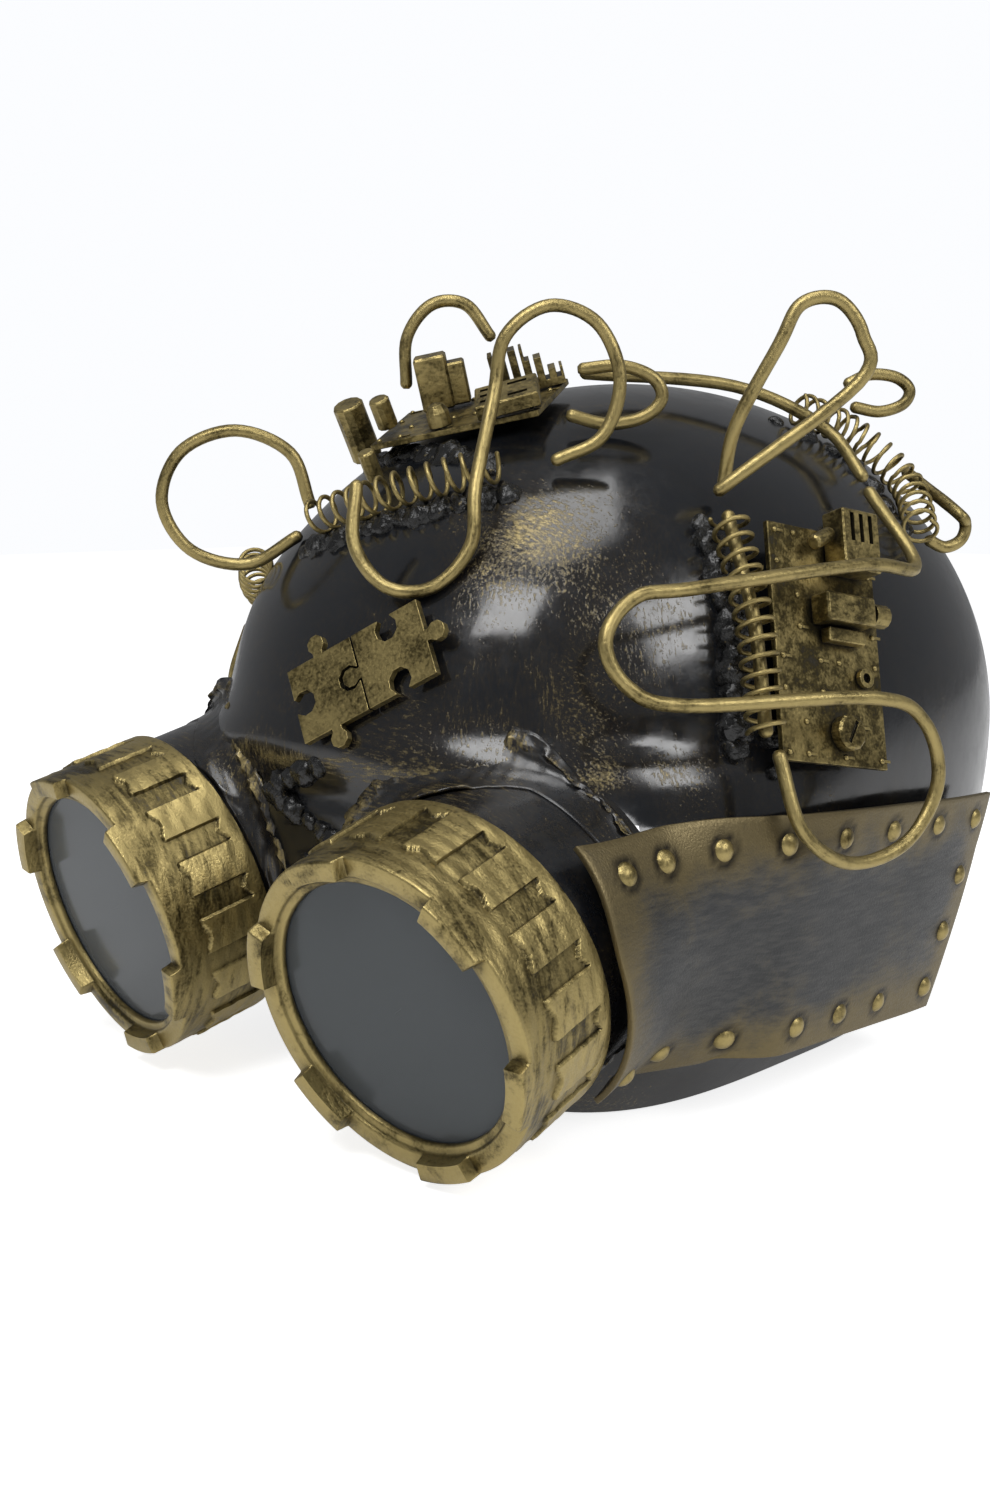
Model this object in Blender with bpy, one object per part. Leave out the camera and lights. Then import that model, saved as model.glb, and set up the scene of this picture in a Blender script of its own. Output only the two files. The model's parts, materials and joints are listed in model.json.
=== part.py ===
"""Steampunk goggle half-helmet: a costume mask with two screw-capped goggle barrels, riveted
cheek plates, jigsaw pieces, springs, scrap circuit boards and looped brass wires.

Frame: +Z is up and z = 0 is the table the mask rests on. The mask faces -Y, the wearer's left is
+X, x = 0 is the middle and y = 0 is the level of the two front faces. Lengths are millimetres
in the design functions, and MM turns them into metres when a mesh or a place is made.
"""

import math

import bmesh
import bpy
from mathutils import Matrix, Vector

MM = 0.001
# Middle of the whole object's footprint, which becomes the origin of the frame.
FOOTPRINT_MIDDLE = (6.463, 123.21, 0.0)

# Head shell: a dome over a superellipse that grows squarer towards the cheeks.
HALF_WIDTH = 92.0
HALF_LENGTH = 119.0
CENTRE_Y = 141.0
WIDEST_Z = 81.0
CROWN_RISE = 96.0
CHEEK_DROP = 120.0
ROUND_EXPONENT = 2.2
CORNER_EXPONENT = 4.0
CORNER_TOP = 95.0
CORNER_FADE = 40.0
SHELL_WALL = 2.0
NOSE_NOTCH = 24.0
NAPE_CUT = 55.0
BASE_TRIM = 4.0

# Goggle barrels.
BARREL_X = 54.45
BARREL_Z = {"left": 38.5, "right": 41.0}
SPLAY_DEG = 5.4
DROOP_DEG = 15.2
CAP_RADIUS = 38.0
CAP_DEPTH = 27.0
CAP_BORE = 35.3
LIP_BORE = 31.2
TAB_RISE = 3.0
TAB_COUNT = 6
TAB_ARC_DEG = 25.0
TAB_START_DEG = {"left": -14.0, "right": -22.0}
TUBE_RADIUS = 36.5
TUBE_NECK = 34.6
TUBE_END = 58.0
LENS_RADIUS = 34.5
GAP = 0.4

# Cheek plates.
PLATE_COLUMNS = 12
PLATE_ROWS = (0.0, 0.11, 0.37, 0.63, 0.89, 1.0)
PLATE_BEND_RADIUS = 39.6
PLATE_STANDOFF = 3.6
PLATE_THICKNESS = 1.5
STUD_RADIUS = 3.1
STUD_SHANK = 1.2
STUD_LIFT = 0.8
STRIP_DEPTHS = (1.3, 2.1)

# Stock sizes.
WIRE_RADIUS = 1.6
COIL_RADIUS = 4.2
COIL_WIRE = 0.5
BOARD_THICKNESS = 1.6
JIGSAW_SIZE = 19.0
JIGSAW_KNOB = 2.4
JIGSAW_TURN = 30.0
JIGSAW_THICKNESS = 2.0

COLOURS = {
    "shell": ((0.05, 0.055, 0.065, 1), 0.28, 0.0),
    "brass": ((0.48, 0.37, 0.14, 1), 0.38, 1.0),
    "plate": ((0.17, 0.16, 0.13, 1), 0.42, 0.9),
    "lens": ((0.25, 0.28, 0.30, 1), 0.12, 0.0),
    "seal": ((0.02, 0.02, 0.02, 1), 0.7, 0.0),
    "board": ((0.07, 0.06, 0.04, 1), 0.5, 0.2),
}


# ---------------------------------------------------------------- general helpers


def clear_scene():
    for item in list(bpy.data.objects):
        bpy.data.objects.remove(item, do_unlink=True)


def parent_to_frame(item):
    """Hangs an object on one empty, which moves the footprint's middle to the origin."""
    frame = bpy.data.objects.get("mask_frame")
    if frame is None:
        frame = bpy.data.objects.new("mask_frame", None)
        frame.location = [-value * MM for value in FOOTPRINT_MIDDLE]
        bpy.context.scene.collection.objects.link(frame)
    item.parent = frame


def material_for(name, finish):
    colour, roughness, metallic = COLOURS[finish]
    material = bpy.data.materials.new(name + "_finish")
    material.use_nodes = True
    shader = material.node_tree.nodes["Principled BSDF"]
    shader.inputs["Base Color"].default_value = colour
    shader.inputs["Roughness"].default_value = roughness
    shader.inputs["Metallic"].default_value = metallic
    return material


def add_object(name, mesh, finish, place=None, sharp_deg=35.0):
    """Turns a bmesh in millimetres into an object in metres, standing at its place matrix."""
    bmesh.ops.recalc_face_normals(mesh, faces=mesh.faces)
    bmesh.ops.scale(mesh, vec=(MM, MM, MM), verts=mesh.verts)
    data = bpy.data.meshes.new(name)
    mesh.to_mesh(data)
    mesh.free()
    data.shade_smooth()
    data.set_sharp_from_angle(angle=math.radians(sharp_deg))
    data.materials.append(material_for(name, finish))
    item = bpy.data.objects.new(name, data)
    bpy.context.scene.collection.objects.link(item)
    parent_to_frame(item)
    if place is not None:
        item.matrix_basis = Matrix.Translation(place.translation * MM) @ place.to_3x3().to_4x4()
    return item


def smoothstep(value):
    value = min(1.0, max(0.0, value))
    return value * value * (3.0 - 2.0 * value)


def lerp(low, high, share):
    return low + (high - low) * share


def hide_helper(item):
    item.hide_render = True
    item.display_type = "WIRE"
    return item


def add_boolean(item, operation, other):
    modifier = item.modifiers.new(operation.title(), "BOOLEAN")
    modifier.operation = operation
    modifier.object = hide_helper(other)


def frame_at(origin, normal, upright=Vector((0, 0, 1)), turn_deg=0.0):
    """Place matrix whose local Z is the normal and whose local Y leans towards the upright."""
    axis_z = normal.normalized()
    axis_x = upright.cross(axis_z).normalized()
    axis_y = axis_z.cross(axis_x)
    basis = Matrix((axis_x, axis_y, axis_z)).transposed().to_4x4()
    return Matrix.Translation(origin) @ basis @ Matrix.Rotation(math.radians(turn_deg), 4, "Z")


# ---------------------------------------------------------------- the head shell's surface


def level_scale(z):
    """Share of the full plan size that the shell has at height z."""
    reach = CROWN_RISE if z > WIDEST_Z else CHEEK_DROP
    return math.sqrt(max(0.0, 1.0 - ((z - WIDEST_Z) / reach) ** 2))


def plan_exponent(y, z):
    squareness = smoothstep((CORNER_TOP - z) / CORNER_FADE) if y < CENTRE_Y else 0.0
    return lerp(ROUND_EXPONENT, CORNER_EXPONENT, squareness)


def shell_field(point):
    """Negative inside the shell's outer surface, zero on it and positive outside."""
    x, y, z = point
    scale = level_scale(z)
    if scale < 1e-4:
        return 10.0
    power = plan_exponent(y, z)
    across = (abs(x) / (HALF_WIDTH * scale)) ** power
    along = (abs(y - CENTRE_Y) / (HALF_LENGTH * scale)) ** power
    return across + along - 1.0


def shell_normal(point):
    step = 0.5
    slopes = []
    for axis in range(3):
        ahead, behind = point.copy(), point.copy()
        ahead[axis] += step
        behind[axis] -= step
        slopes.append(shell_field(ahead) - shell_field(behind))
    return Vector(slopes).normalized()


def seat(start, heading, lift=0.0):
    """The point where a line from outside meets the shell, raised off it by lift."""
    heading = Vector(heading).normalized()
    point = Vector(start)
    while shell_field(point) > 0.0:
        point = point + heading
    inside, outside = point, point - heading
    for _ in range(20):
        middle = (inside + outside) / 2
        if shell_field(middle) > 0.0:
            outside = middle
        else:
            inside = middle
    return outside + shell_normal(outside) * lift


def front_at(x, z, lift=0.0):
    return seat((x, -60, z), (0, 1, 0), lift)


def top_at(x, y, lift=0.0):
    return seat((x, y, 220), (0, 0, -1), lift)


def side_at(y, z, side=1, lift=0.0):
    return seat((side * 130, y, z), (-side, 0, 0), lift)


def bottom_edge(angle_deg):
    """Height of the shell's lower edge; -90 degrees is the nose and +90 the nape."""
    from_nose = abs(angle_deg + 90.0)
    notch = NOSE_NOTCH * (1.0 - smoothstep((from_nose - 4.0) / 11.0))
    side_angle = 180.0 - angle_deg if angle_deg > 90.0 else angle_deg
    nape = NAPE_CUT * smoothstep((side_angle - 20.0) / 60.0)
    return notch + nape - BASE_TRIM


def shell_point(angle_deg, z):
    angle = math.radians(angle_deg)
    scale = level_scale(z)
    power = plan_exponent(CENTRE_Y + math.sin(angle), z)
    across = (abs(math.cos(angle)) / (HALF_WIDTH * scale)) ** power
    along = (abs(math.sin(angle)) / (HALF_LENGTH * scale)) ** power
    reach = (across + along) ** (-1.0 / power)
    return Vector((reach * math.cos(angle), CENTRE_Y + reach * math.sin(angle), z))


def make_shell(columns=36, rows=11):
    """Open-bottomed dome with a nose notch, a raised nape and two holes for the barrels."""
    mesh = bmesh.new()
    grid = []
    for column in range(columns):
        angle = -90.0 + 360.0 * column / columns
        wrapped = angle if angle <= 180.0 else angle - 360.0
        edge = bottom_edge(wrapped)
        reach = CROWN_RISE if edge > WIDEST_Z else CHEEK_DROP
        lowest = math.asin((edge - WIDEST_Z) / reach)
        line = []
        for row in range(rows):
            latitude = lerp(lowest, math.pi / 2, row / rows)
            reach = CROWN_RISE if latitude > 0 else CHEEK_DROP
            line.append(mesh.verts.new(shell_point(angle, WIDEST_Z + reach * math.sin(latitude))))
        grid.append(line)
    pole = mesh.verts.new((0, CENTRE_Y, WIDEST_Z + CROWN_RISE))
    for column, line in enumerate(grid):
        following = grid[(column + 1) % columns]
        for row in range(rows - 1):
            mesh.faces.new((line[row], following[row], following[row + 1], line[row + 1]))
        mesh.faces.new((line[-1], following[-1], pole))
    shell = add_object("skull_shell", mesh, "shell")
    wall = shell.modifiers.new("Wall", "SOLIDIFY")
    wall.thickness = SHELL_WALL * MM
    wall.offset = -1.0
    for side in ("left", "right"):
        add_boolean(shell, "DIFFERENCE", eye_hole_cutter(side))
    below = bmesh.new()
    bmesh.ops.create_cube(below, size=4 * HALF_LENGTH,
                          matrix=Matrix.Translation((0, CENTRE_Y, -2 * HALF_LENGTH)))
    add_boolean(shell, "DIFFERENCE", add_object("base_trim_cutter", below, "shell"))
    return shell


# ---------------------------------------------------------------- goggle barrels


def side_sign(side):
    return 1 if side == "left" else -1


def barrel_place(side):
    """Local origin at the centre of the front face, local Z forwards along the barrel."""
    splay, droop = math.radians(SPLAY_DEG), math.radians(DROOP_DEG)
    sign = side_sign(side)
    forwards = Vector((sign * math.sin(splay), -math.cos(splay) * math.cos(droop), -math.sin(droop)))
    return frame_at(Vector((sign * BARREL_X, 0, BARREL_Z[side])), forwards)


def eye_hole_cutter(side):
    mesh = bmesh.new()
    radius, start, end = TUBE_RADIUS + 0.8, 12.0, TUBE_END + 6.0
    bmesh.ops.create_cone(mesh, cap_ends=True, segments=36, radius1=radius, radius2=radius,
                          depth=end - start, matrix=Matrix.Translation((0, 0, -(start + end) / 2)))
    return add_object(side + "_eye_hole_cutter", mesh, "shell", barrel_place(side))


def turned_ring(profile, steps):
    """Closed ring spun about local Z from a closed outline of (radius, height) points."""
    mesh = bmesh.new()
    outline = [mesh.verts.new((radius, 0, height)) for radius, height in profile]
    edges = [mesh.edges.new(pair) for pair in zip(outline, outline[1:] + outline[:1])]
    bmesh.ops.spin(mesh, geom=outline + edges, axis=(0, 0, 1), cent=(0, 0, 0), steps=steps,
                   angle=math.tau, use_merge=True)
    bmesh.ops.remove_doubles(mesh, verts=mesh.verts, dist=0.001)
    return mesh


def make_tube(side):
    """Goggle tube with a thinner neck that the cap ring screws over."""
    bore, neck_bore = TUBE_RADIUS - 2.3, LIP_BORE + 0.3
    neck_front, shoulder = -6.6, -(CAP_DEPTH + 1.0)
    profile = [(neck_bore, neck_front), (TUBE_NECK, neck_front), (TUBE_NECK, shoulder),
               (TUBE_RADIUS, shoulder), (TUBE_RADIUS, -TUBE_END), (bore, -TUBE_END),
               (bore, shoulder - 2.0), (neck_bore, shoulder - 2.0)]
    add_object(side + "_barrel_tube", turned_ring(profile, 30), "brass", barrel_place(side))


def cap_profile(rise):
    """Cross-section of the cap ring, whose outer lip stands forward by rise at each tab."""
    return [(CAP_BORE, -CAP_DEPTH), (CAP_RADIUS, -CAP_DEPTH), (CAP_RADIUS, rise - 0.8),
            (CAP_RADIUS - 0.8, rise), (33.4, rise), (33.0, -0.8), (LIP_BORE, -1.4),
            (LIP_BORE, -2.6), (CAP_BORE, -2.6)]


def cap_stations(side):
    """Angles round the cap ring, each with the height of the lip there."""
    stations = []
    flank = 0.8
    pitch = 360.0 / TAB_COUNT
    for tab in range(TAB_COUNT):
        middle = TAB_START_DEG[side] + pitch * tab
        low, high = middle - TAB_ARC_DEG / 2, middle + TAB_ARC_DEG / 2
        stations += [(low, 0.0), (low + flank, TAB_RISE), (middle, TAB_RISE)]
        stations += [(high - flank, TAB_RISE), (high, 0.0)]
        spare = pitch - TAB_ARC_DEG
        stations += [(high + spare * part / 4, 0.0) for part in (1, 2, 3)]
    return stations


def make_cap_ring(side):
    mesh = bmesh.new()
    loops = []
    for angle_deg, rise in cap_stations(side):
        angle = math.radians(angle_deg)
        loops.append([mesh.verts.new((radius * math.cos(angle), radius * math.sin(angle), height))
                      for radius, height in cap_profile(rise)])
    for loop, following in zip(loops, loops[1:] + loops[:1]):
        for index in range(len(loop)):
            after = (index + 1) % len(loop)
            mesh.faces.new((loop[index], following[index], following[after], loop[after]))
    add_object(side + "_cap_ring", mesh, "brass", barrel_place(side))


def make_lens(side):
    """Lens disc and the rubber ring that seats it on the tube's neck."""
    mesh = bmesh.new()
    bmesh.ops.create_cone(mesh, cap_ends=True, segments=36, radius1=LENS_RADIUS,
                          radius2=LENS_RADIUS, depth=2.0, matrix=Matrix.Translation((0, 0, -4.0)))
    add_object(side + "_lens", mesh, "lens", barrel_place(side))
    seal = [(LIP_BORE + 0.5, -5.3), (LENS_RADIUS, -5.3), (LENS_RADIUS, -6.2), (LIP_BORE + 0.5, -6.2)]
    add_object(side + "_lens_seal", turned_ring(seal, 28), "seal", barrel_place(side))


# ---------------------------------------------------------------- cheek plates and studs


def plate_edges(along):
    """Lowest and highest z of the cheek plate, from its front edge (0) to its rear edge (1)."""
    belly = math.sin(math.pi * along)
    shoulder = 3.5 * smoothstep(along / 0.3)
    return 17.5 + 1.5 * belly - 4.5 * along, 74.0 + shoulder + 1.5 * belly - 9.0 * along


def plate_front(z):
    """y of the plate's front edge, which stays just behind the tilted cap ring."""
    backwards = -barrel_place("left").col[2].xyz
    beside = backwards.x * (CAP_RADIUS - 4.0)
    behind_cap = (CAP_DEPTH + 2.0 - beside - backwards.z * (z - BARREL_Z["left"])) / backwards.y
    return behind_cap + 4.0 * smoothstep((z - 50.0) / 24.0)


def plate_rear(up):
    """y of the plate's rear edge, which leans forwards towards the bottom."""
    return lerp(160.0, 180.0, up)


def barrel_bend(y, z):
    """x of a sheet wrapped round the left barrel at the bend radius."""
    axis = barrel_place("left").col[2].xyz
    drop = z - BARREL_Z["left"]
    shift = y * axis.y + drop * axis.z
    lean = 1.0 - axis.x ** 2
    beyond = y ** 2 + drop ** 2 - shift ** 2 - PLATE_BEND_RADIUS ** 2
    root = (axis.x * shift) ** 2 - lean * beyond
    return BARREL_X + (axis.x * shift + math.sqrt(max(0.0, root))) / lean


def soft_max(first, second, width=2.0):
    return (first + second + math.sqrt((first - second) ** 2 + width ** 2)) / 2


def plate_point(along, up):
    """Point of the left plate's inner face; along and up run from 0 to 1."""
    low, high = plate_edges(along)
    z = lerp(low, high, up)
    y = lerp(plate_front(z), plate_rear(up), along)
    beside = side_at(max(y, 45.0), z).x
    widest = side_at(max(y, 45.0), 55.0).x
    hanging = max(beside, lerp(beside, widest, 0.6)) + PLATE_STANDOFF
    wrap = 1.0 - smoothstep((y - 48.0) / 45.0)
    x = soft_max(beside + PLATE_STANDOFF - 1.0, lerp(hanging, barrel_bend(y, z), wrap))
    return Vector((x, y, z))


def facet_point(along, up):
    """Point on the flat facets that the plate's grid is made of."""
    column = min(int(along * PLATE_COLUMNS), PLATE_COLUMNS - 1)
    low, high = next(pair for pair in zip(PLATE_ROWS, PLATE_ROWS[1:]) if up <= pair[1])
    across, above = along * PLATE_COLUMNS - column, (up - low) / (high - low)
    corners = [plate_point((column + step) / PLATE_COLUMNS, share)
               for share in (low, high) for step in (0, 1)]
    return corners[0].lerp(corners[1], across).lerp(corners[2].lerp(corners[3], across), above)


def plate_outward(along, up):
    step = 0.02
    ahead = plate_point(min(along + step, 1.0), up) - plate_point(max(along - step, 0.0), up)
    above = plate_point(along, min(up + step, 1.0)) - plate_point(along, max(up - step, 0.0))
    return ahead.cross(above).normalized()


def mirrored(mesh, side):
    """Leaves the left side alone and turns it into the right one, level with that barrel."""
    bmesh.ops.triangulate(mesh, faces=mesh.faces)
    if side == "right":
        lift = BARREL_Z["right"] - BARREL_Z["left"]
        bmesh.ops.scale(mesh, vec=(-1, 1, 1), verts=mesh.verts)
        bmesh.ops.translate(mesh, vec=(0, 0, lift), verts=mesh.verts)
        bmesh.ops.reverse_faces(mesh, faces=mesh.faces)
    return mesh


def stud_rows():
    """Stud places in plate coordinates, one list for each backing strip."""
    bottom_line, low_line, high_line, top_line = PLATE_ROWS[1:5]
    top = [(lerp(0.06, 0.945, (step / 7) ** 1.2), top_line) for step in range(8)]
    rear = [(0.945, up) for up in (high_line, low_line, bottom_line)]
    bottom = [(lerp(0.045, 0.75, step / 5), bottom_line) for step in range(6)]
    return {"top": top, "rear": rear, "bottom": bottom}


def stud_frame(along, up):
    return frame_at(facet_point(along, up), plate_outward(along, up))


def add_turned(mesh, profile, steps, place):
    """Spins an outline that starts and ends on the axis and adds it to the mesh."""
    loops = []
    for step in range(steps):
        angle = math.tau * step / steps
        loops.append([mesh.verts.new(place @ Vector((radius * math.cos(angle),
                                                     radius * math.sin(angle), height)))
                      for radius, height in profile[1:-1]])
    bottom = mesh.verts.new(place @ Vector((0, 0, profile[0][1])))
    top = mesh.verts.new(place @ Vector((0, 0, profile[-1][1])))
    for loop, following in zip(loops, loops[1:] + loops[:1]):
        mesh.faces.new((bottom, following[0], loop[0]))
        for index in range(len(loop) - 1):
            mesh.faces.new((loop[index], following[index], following[index + 1], loop[index + 1]))
        mesh.faces.new((loop[-1], following[-1], top))


def closed_sheet(inner, outer):
    """Sheet metal from two grids of points: both faces and the rim round them."""
    mesh = bmesh.new()
    grids = [[[mesh.verts.new(point) for point in line] for line in grid]
             for grid in (inner, outer)]
    columns, rows = len(inner), len(inner[0])
    for grid in grids:
        for column in range(columns - 1):
            for row in range(rows - 1):
                mesh.faces.new((grid[column][row], grid[column + 1][row],
                                grid[column + 1][row + 1], grid[column][row + 1]))
    around = [(column, 0) for column in range(columns - 1)]
    around += [(columns - 1, row) for row in range(rows - 1)]
    around += [(column, rows - 1) for column in range(columns - 1, 0, -1)]
    around += [(0, row) for row in range(rows - 1, 0, -1)]
    for (column, row), (next_column, next_row) in zip(around, around[1:] + around[:1]):
        mesh.faces.new((grids[0][column][row], grids[0][next_column][next_row],
                        grids[1][next_column][next_row], grids[1][column][row]))
    return mesh


def make_plate(side):
    inner, outer = [], []
    for column in range(PLATE_COLUMNS + 1):
        spots = [(column / PLATE_COLUMNS, up) for up in PLATE_ROWS]
        inner.append([plate_point(*spot) for spot in spots])
        outer.append([plate_point(*spot) + plate_outward(*spot) * PLATE_THICKNESS
                      for spot in spots])
    mesh = closed_sheet(inner, outer)
    plate = add_object(side + "_cheek_plate", mirrored(mesh, side), "plate")
    holes = bmesh.new()
    for places in stud_rows().values():
        for along, up in places:
            bmesh.ops.create_cone(holes, cap_ends=True, segments=6, radius1=STUD_SHANK + 0.5,
                                  radius2=STUD_SHANK + 0.5, depth=8.0, matrix=stud_frame(along, up))
    add_boolean(plate, "DIFFERENCE",
                add_object(side + "_stud_hole_cutter", mirrored(holes, side), "plate"))


def strip_stations(places):
    """Places along a strip's middle: its two ends and each facet edge that it crosses."""
    (start, low), (end, high) = places[0], places[-1]
    if start == end:
        inside = [(start, up) for up in reversed(PLATE_ROWS) if high < up < low]
        return [(start, low + 0.04)] + inside + [(end, high - 0.04)]
    edges = [column / PLATE_COLUMNS for column in range(PLATE_COLUMNS)]
    inside = [(along, low) for along in edges if start < along < end]
    return [(start - 0.015, low)] + inside + [(end + 0.015, high)]


def make_stud_strip(side, row, places):
    """Backing strip behind the plate with domed studs standing through the plate's holes."""
    mesh = bmesh.new()
    half_length, half_height = (0.016, 0.0) if row == "rear" else (0.0, 0.03)
    sections = []
    for along, up in strip_stations(places):
        outward = plate_outward(along, up)
        across = [facet_point(along + shift * half_length, up + shift * half_height)
                  for shift in (-1, 0, 1)]
        ring = [point - outward * STRIP_DEPTHS[0] for point in across]
        ring += [point - outward * STRIP_DEPTHS[1] for point in reversed(across)]
        sections.append([mesh.verts.new(point) for point in ring])
    for section, following in zip(sections, sections[1:]):
        for index in range(6):
            after = (index + 1) % 6
            mesh.faces.new((section[index], following[index], following[after], section[after]))
    mesh.faces.new(sections[0])
    mesh.faces.new(sections[-1][::-1])
    strip = add_object(f"{side}_{row}_stud_strip", mirrored(mesh, side), "brass")
    studs = bmesh.new()
    base = PLATE_THICKNESS + STUD_LIFT
    foot = -sum(STRIP_DEPTHS) / 2
    profile = [(0, foot), (STUD_SHANK, foot), (STUD_SHANK, base), (STUD_RADIUS, base),
               (STUD_RADIUS * 0.82, base + 1.5), (0, base + 2.5)]
    for along, up in places:
        add_turned(studs, profile, 6, stud_frame(along, up))
    add_boolean(strip, "UNION", add_object(f"{side}_{row}_studs", mirrored(studs, side), "brass"))


# ---------------------------------------------------------------- jigsaw pieces


def jigsaw_side(start, heading, kind):
    """Points of one side from its start corner: kind 1 has a knob, -1 a socket, 0 is straight."""
    radius = JIGSAW_KNOB if kind > 0 else JIGSAW_KNOB + 0.7
    across = Vector((-heading.y, heading.x)) * kind
    points = [start]
    if kind:
        halfway = start + heading * (JIGSAW_SIZE / 2)
        neck = heading * (radius * math.cos(math.radians(55.0)))
        middle = halfway + across * (JIGSAW_KNOB * 1.15)
        points.append(halfway - neck)
        for step in range(8):
            angle = math.radians(lerp(235.0, -55.0, step / 7))
            points.append(middle + heading * (radius * math.cos(angle))
                          + across * (radius * math.sin(angle)))
        points.append(halfway + neck)
    return points


def make_jigsaw(name, kinds, place):
    """Jigsaw piece whose top, right, bottom and left sides are of the given kinds."""
    mesh = bmesh.new()
    half = JIGSAW_SIZE / 2
    corner = Vector((-half, half))
    heading = Vector((1, 0))
    outline = []
    for kind in kinds:
        outline += jigsaw_side(corner, heading, kind)
        corner = corner + heading * JIGSAW_SIZE
        heading = Vector((heading.y, -heading.x))
    face = mesh.faces.new([mesh.verts.new((x, y, 0)) for x, y in outline])
    raised = bmesh.ops.extrude_face_region(mesh, geom=[face])
    tops = [item for item in raised["geom"] if isinstance(item, bmesh.types.BMVert)]
    bmesh.ops.translate(mesh, vec=(0, 0, JIGSAW_THICKNESS), verts=tops)
    add_object(name, mesh, "brass", place)


def make_jigsaws():
    """Two interlocked pieces lying flat on the brow: the upper one's knob fills a socket."""
    brow = front_at(18, 106)
    pair = frame_at(front_at(18, 106, 1.0), shell_normal(brow), turn_deg=JIGSAW_TURN)
    shift = JIGSAW_SIZE / 2 + GAP / 2
    make_jigsaw("lower_jigsaw_piece", (1, -1, 1, -1), pair @ Matrix.Translation((-shift, 0, 0)))
    make_jigsaw("upper_jigsaw_piece", (-1, 1, -1, 1), pair @ Matrix.Translation((shift, 0, 0)))


# ---------------------------------------------------------------- springs and wires


def smooth_path(points, per_span):
    """Catmull-Rom curve through the points, with per_span steps between neighbours."""
    points = [Vector(point) for point in points]
    padded = [points[0] * 2 - points[1]] + points + [points[-1] * 2 - points[-2]]
    path = []
    for before, start, end, after in zip(padded, padded[1:], padded[2:], padded[3:]):
        for step in range(per_span):
            t = step / per_span
            path.append(0.5 * (2 * start + (end - before) * t
                               + (2 * before - 5 * start + 4 * end - after) * t ** 2
                               + (3 * start - before - 3 * end + after) * t ** 3))
    path.append(points[-1])
    return path


def add_rod(name, path, radius, finish, bevel_resolution):
    """Round wire along a path, as a curve with a round bevel and closed ends."""
    curve = bpy.data.curves.new(name, "CURVE")
    curve.dimensions = "3D"
    curve.bevel_depth = radius * MM
    curve.bevel_resolution = bevel_resolution
    curve.use_fill_caps = True
    curve.twist_mode = "MINIMUM"
    spline = curve.splines.new("POLY")
    spline.points.add(len(path) - 1)
    for spot, point in zip(spline.points, path):
        spot.co = (*(point * MM), 1.0)
    curve.materials.append(material_for(name, finish))
    item = bpy.data.objects.new(name, curve)
    bpy.context.scene.collection.objects.link(item)
    parent_to_frame(item)
    return item


def coil_path(centres, radius, turns, per_turn=7):
    """Helix round a smooth centre line."""
    line = smooth_path(centres, 12)
    tangent = (line[1] - line[0]).normalized()
    across = tangent.orthogonal().normalized()
    steps = turns * per_turn
    path = []
    for step in range(steps + 1):
        place = step / steps * (len(line) - 1)
        index = min(int(place), len(line) - 2)
        centre = line[index].lerp(line[index + 1], place - index)
        tangent = (line[index + 1] - line[index]).normalized()
        across = (across - tangent * across.dot(tangent)).normalized()
        angle = math.tau * step / per_turn
        path.append(centre + (across * math.cos(angle)
                              + tangent.cross(across) * math.sin(angle)) * radius)
    return path


def make_springs():
    """Coils that follow the shell, each round a centre line held off its surface."""
    lift = COIL_RADIUS + COIL_WIRE + 0.6
    coils = {
        "front_spring": ([front_at(-18, 137.5, lift), front_at(6, 144, lift),
                          front_at(26, 150, lift)], 12),
        "side_spring": ([side_at(94, 138, 1, 7.0), side_at(88, 116, 1, 8.0),
                         side_at(84, 92, 1, 10.0)], 13),
        "crown_spring": ([top_at(x, y, lift)
                          for x, y in ((43, 156), (49, 173), (63, 177), (75, 165))], 16),
        "right_spring": ([front_at(-47, 126, lift), side_at(68, 118, -1, lift),
                          side_at(92, 108, -1, lift)], 11),
    }
    for name, (centres, turns) in coils.items():
        add_rod(name, coil_path(centres, COIL_RADIUS, turns), COIL_WIRE, "brass", 0)


def oval_arc(middle, half_sizes, start_deg, end_deg, turn_deg, lean_deg=0.0):
    """Points of an oval arc, one about every 45 degrees.

    The oval faces turn_deg to the wearer's left of straight ahead and leans back by lean_deg.
    Seen from where it faces, 0 degrees is its right end and 90 degrees its top.
    """
    turn, lean = math.radians(turn_deg), math.radians(lean_deg)
    across = Vector((math.cos(turn), math.sin(turn), 0))
    upwards = Vector((-math.sin(turn) * math.sin(lean), math.cos(turn) * math.sin(lean),
                      math.cos(lean)))
    steps = max(2, round(abs(end_deg - start_deg) / 45.0))
    points = []
    for step in range(steps + 1):
        angle = math.radians(lerp(start_deg, end_deg, step / steps))
        points.append(Vector(middle) + across * (half_sizes[0] * math.cos(angle))
                      + upwards * (half_sizes[1] * math.sin(angle)))
    return points


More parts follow.
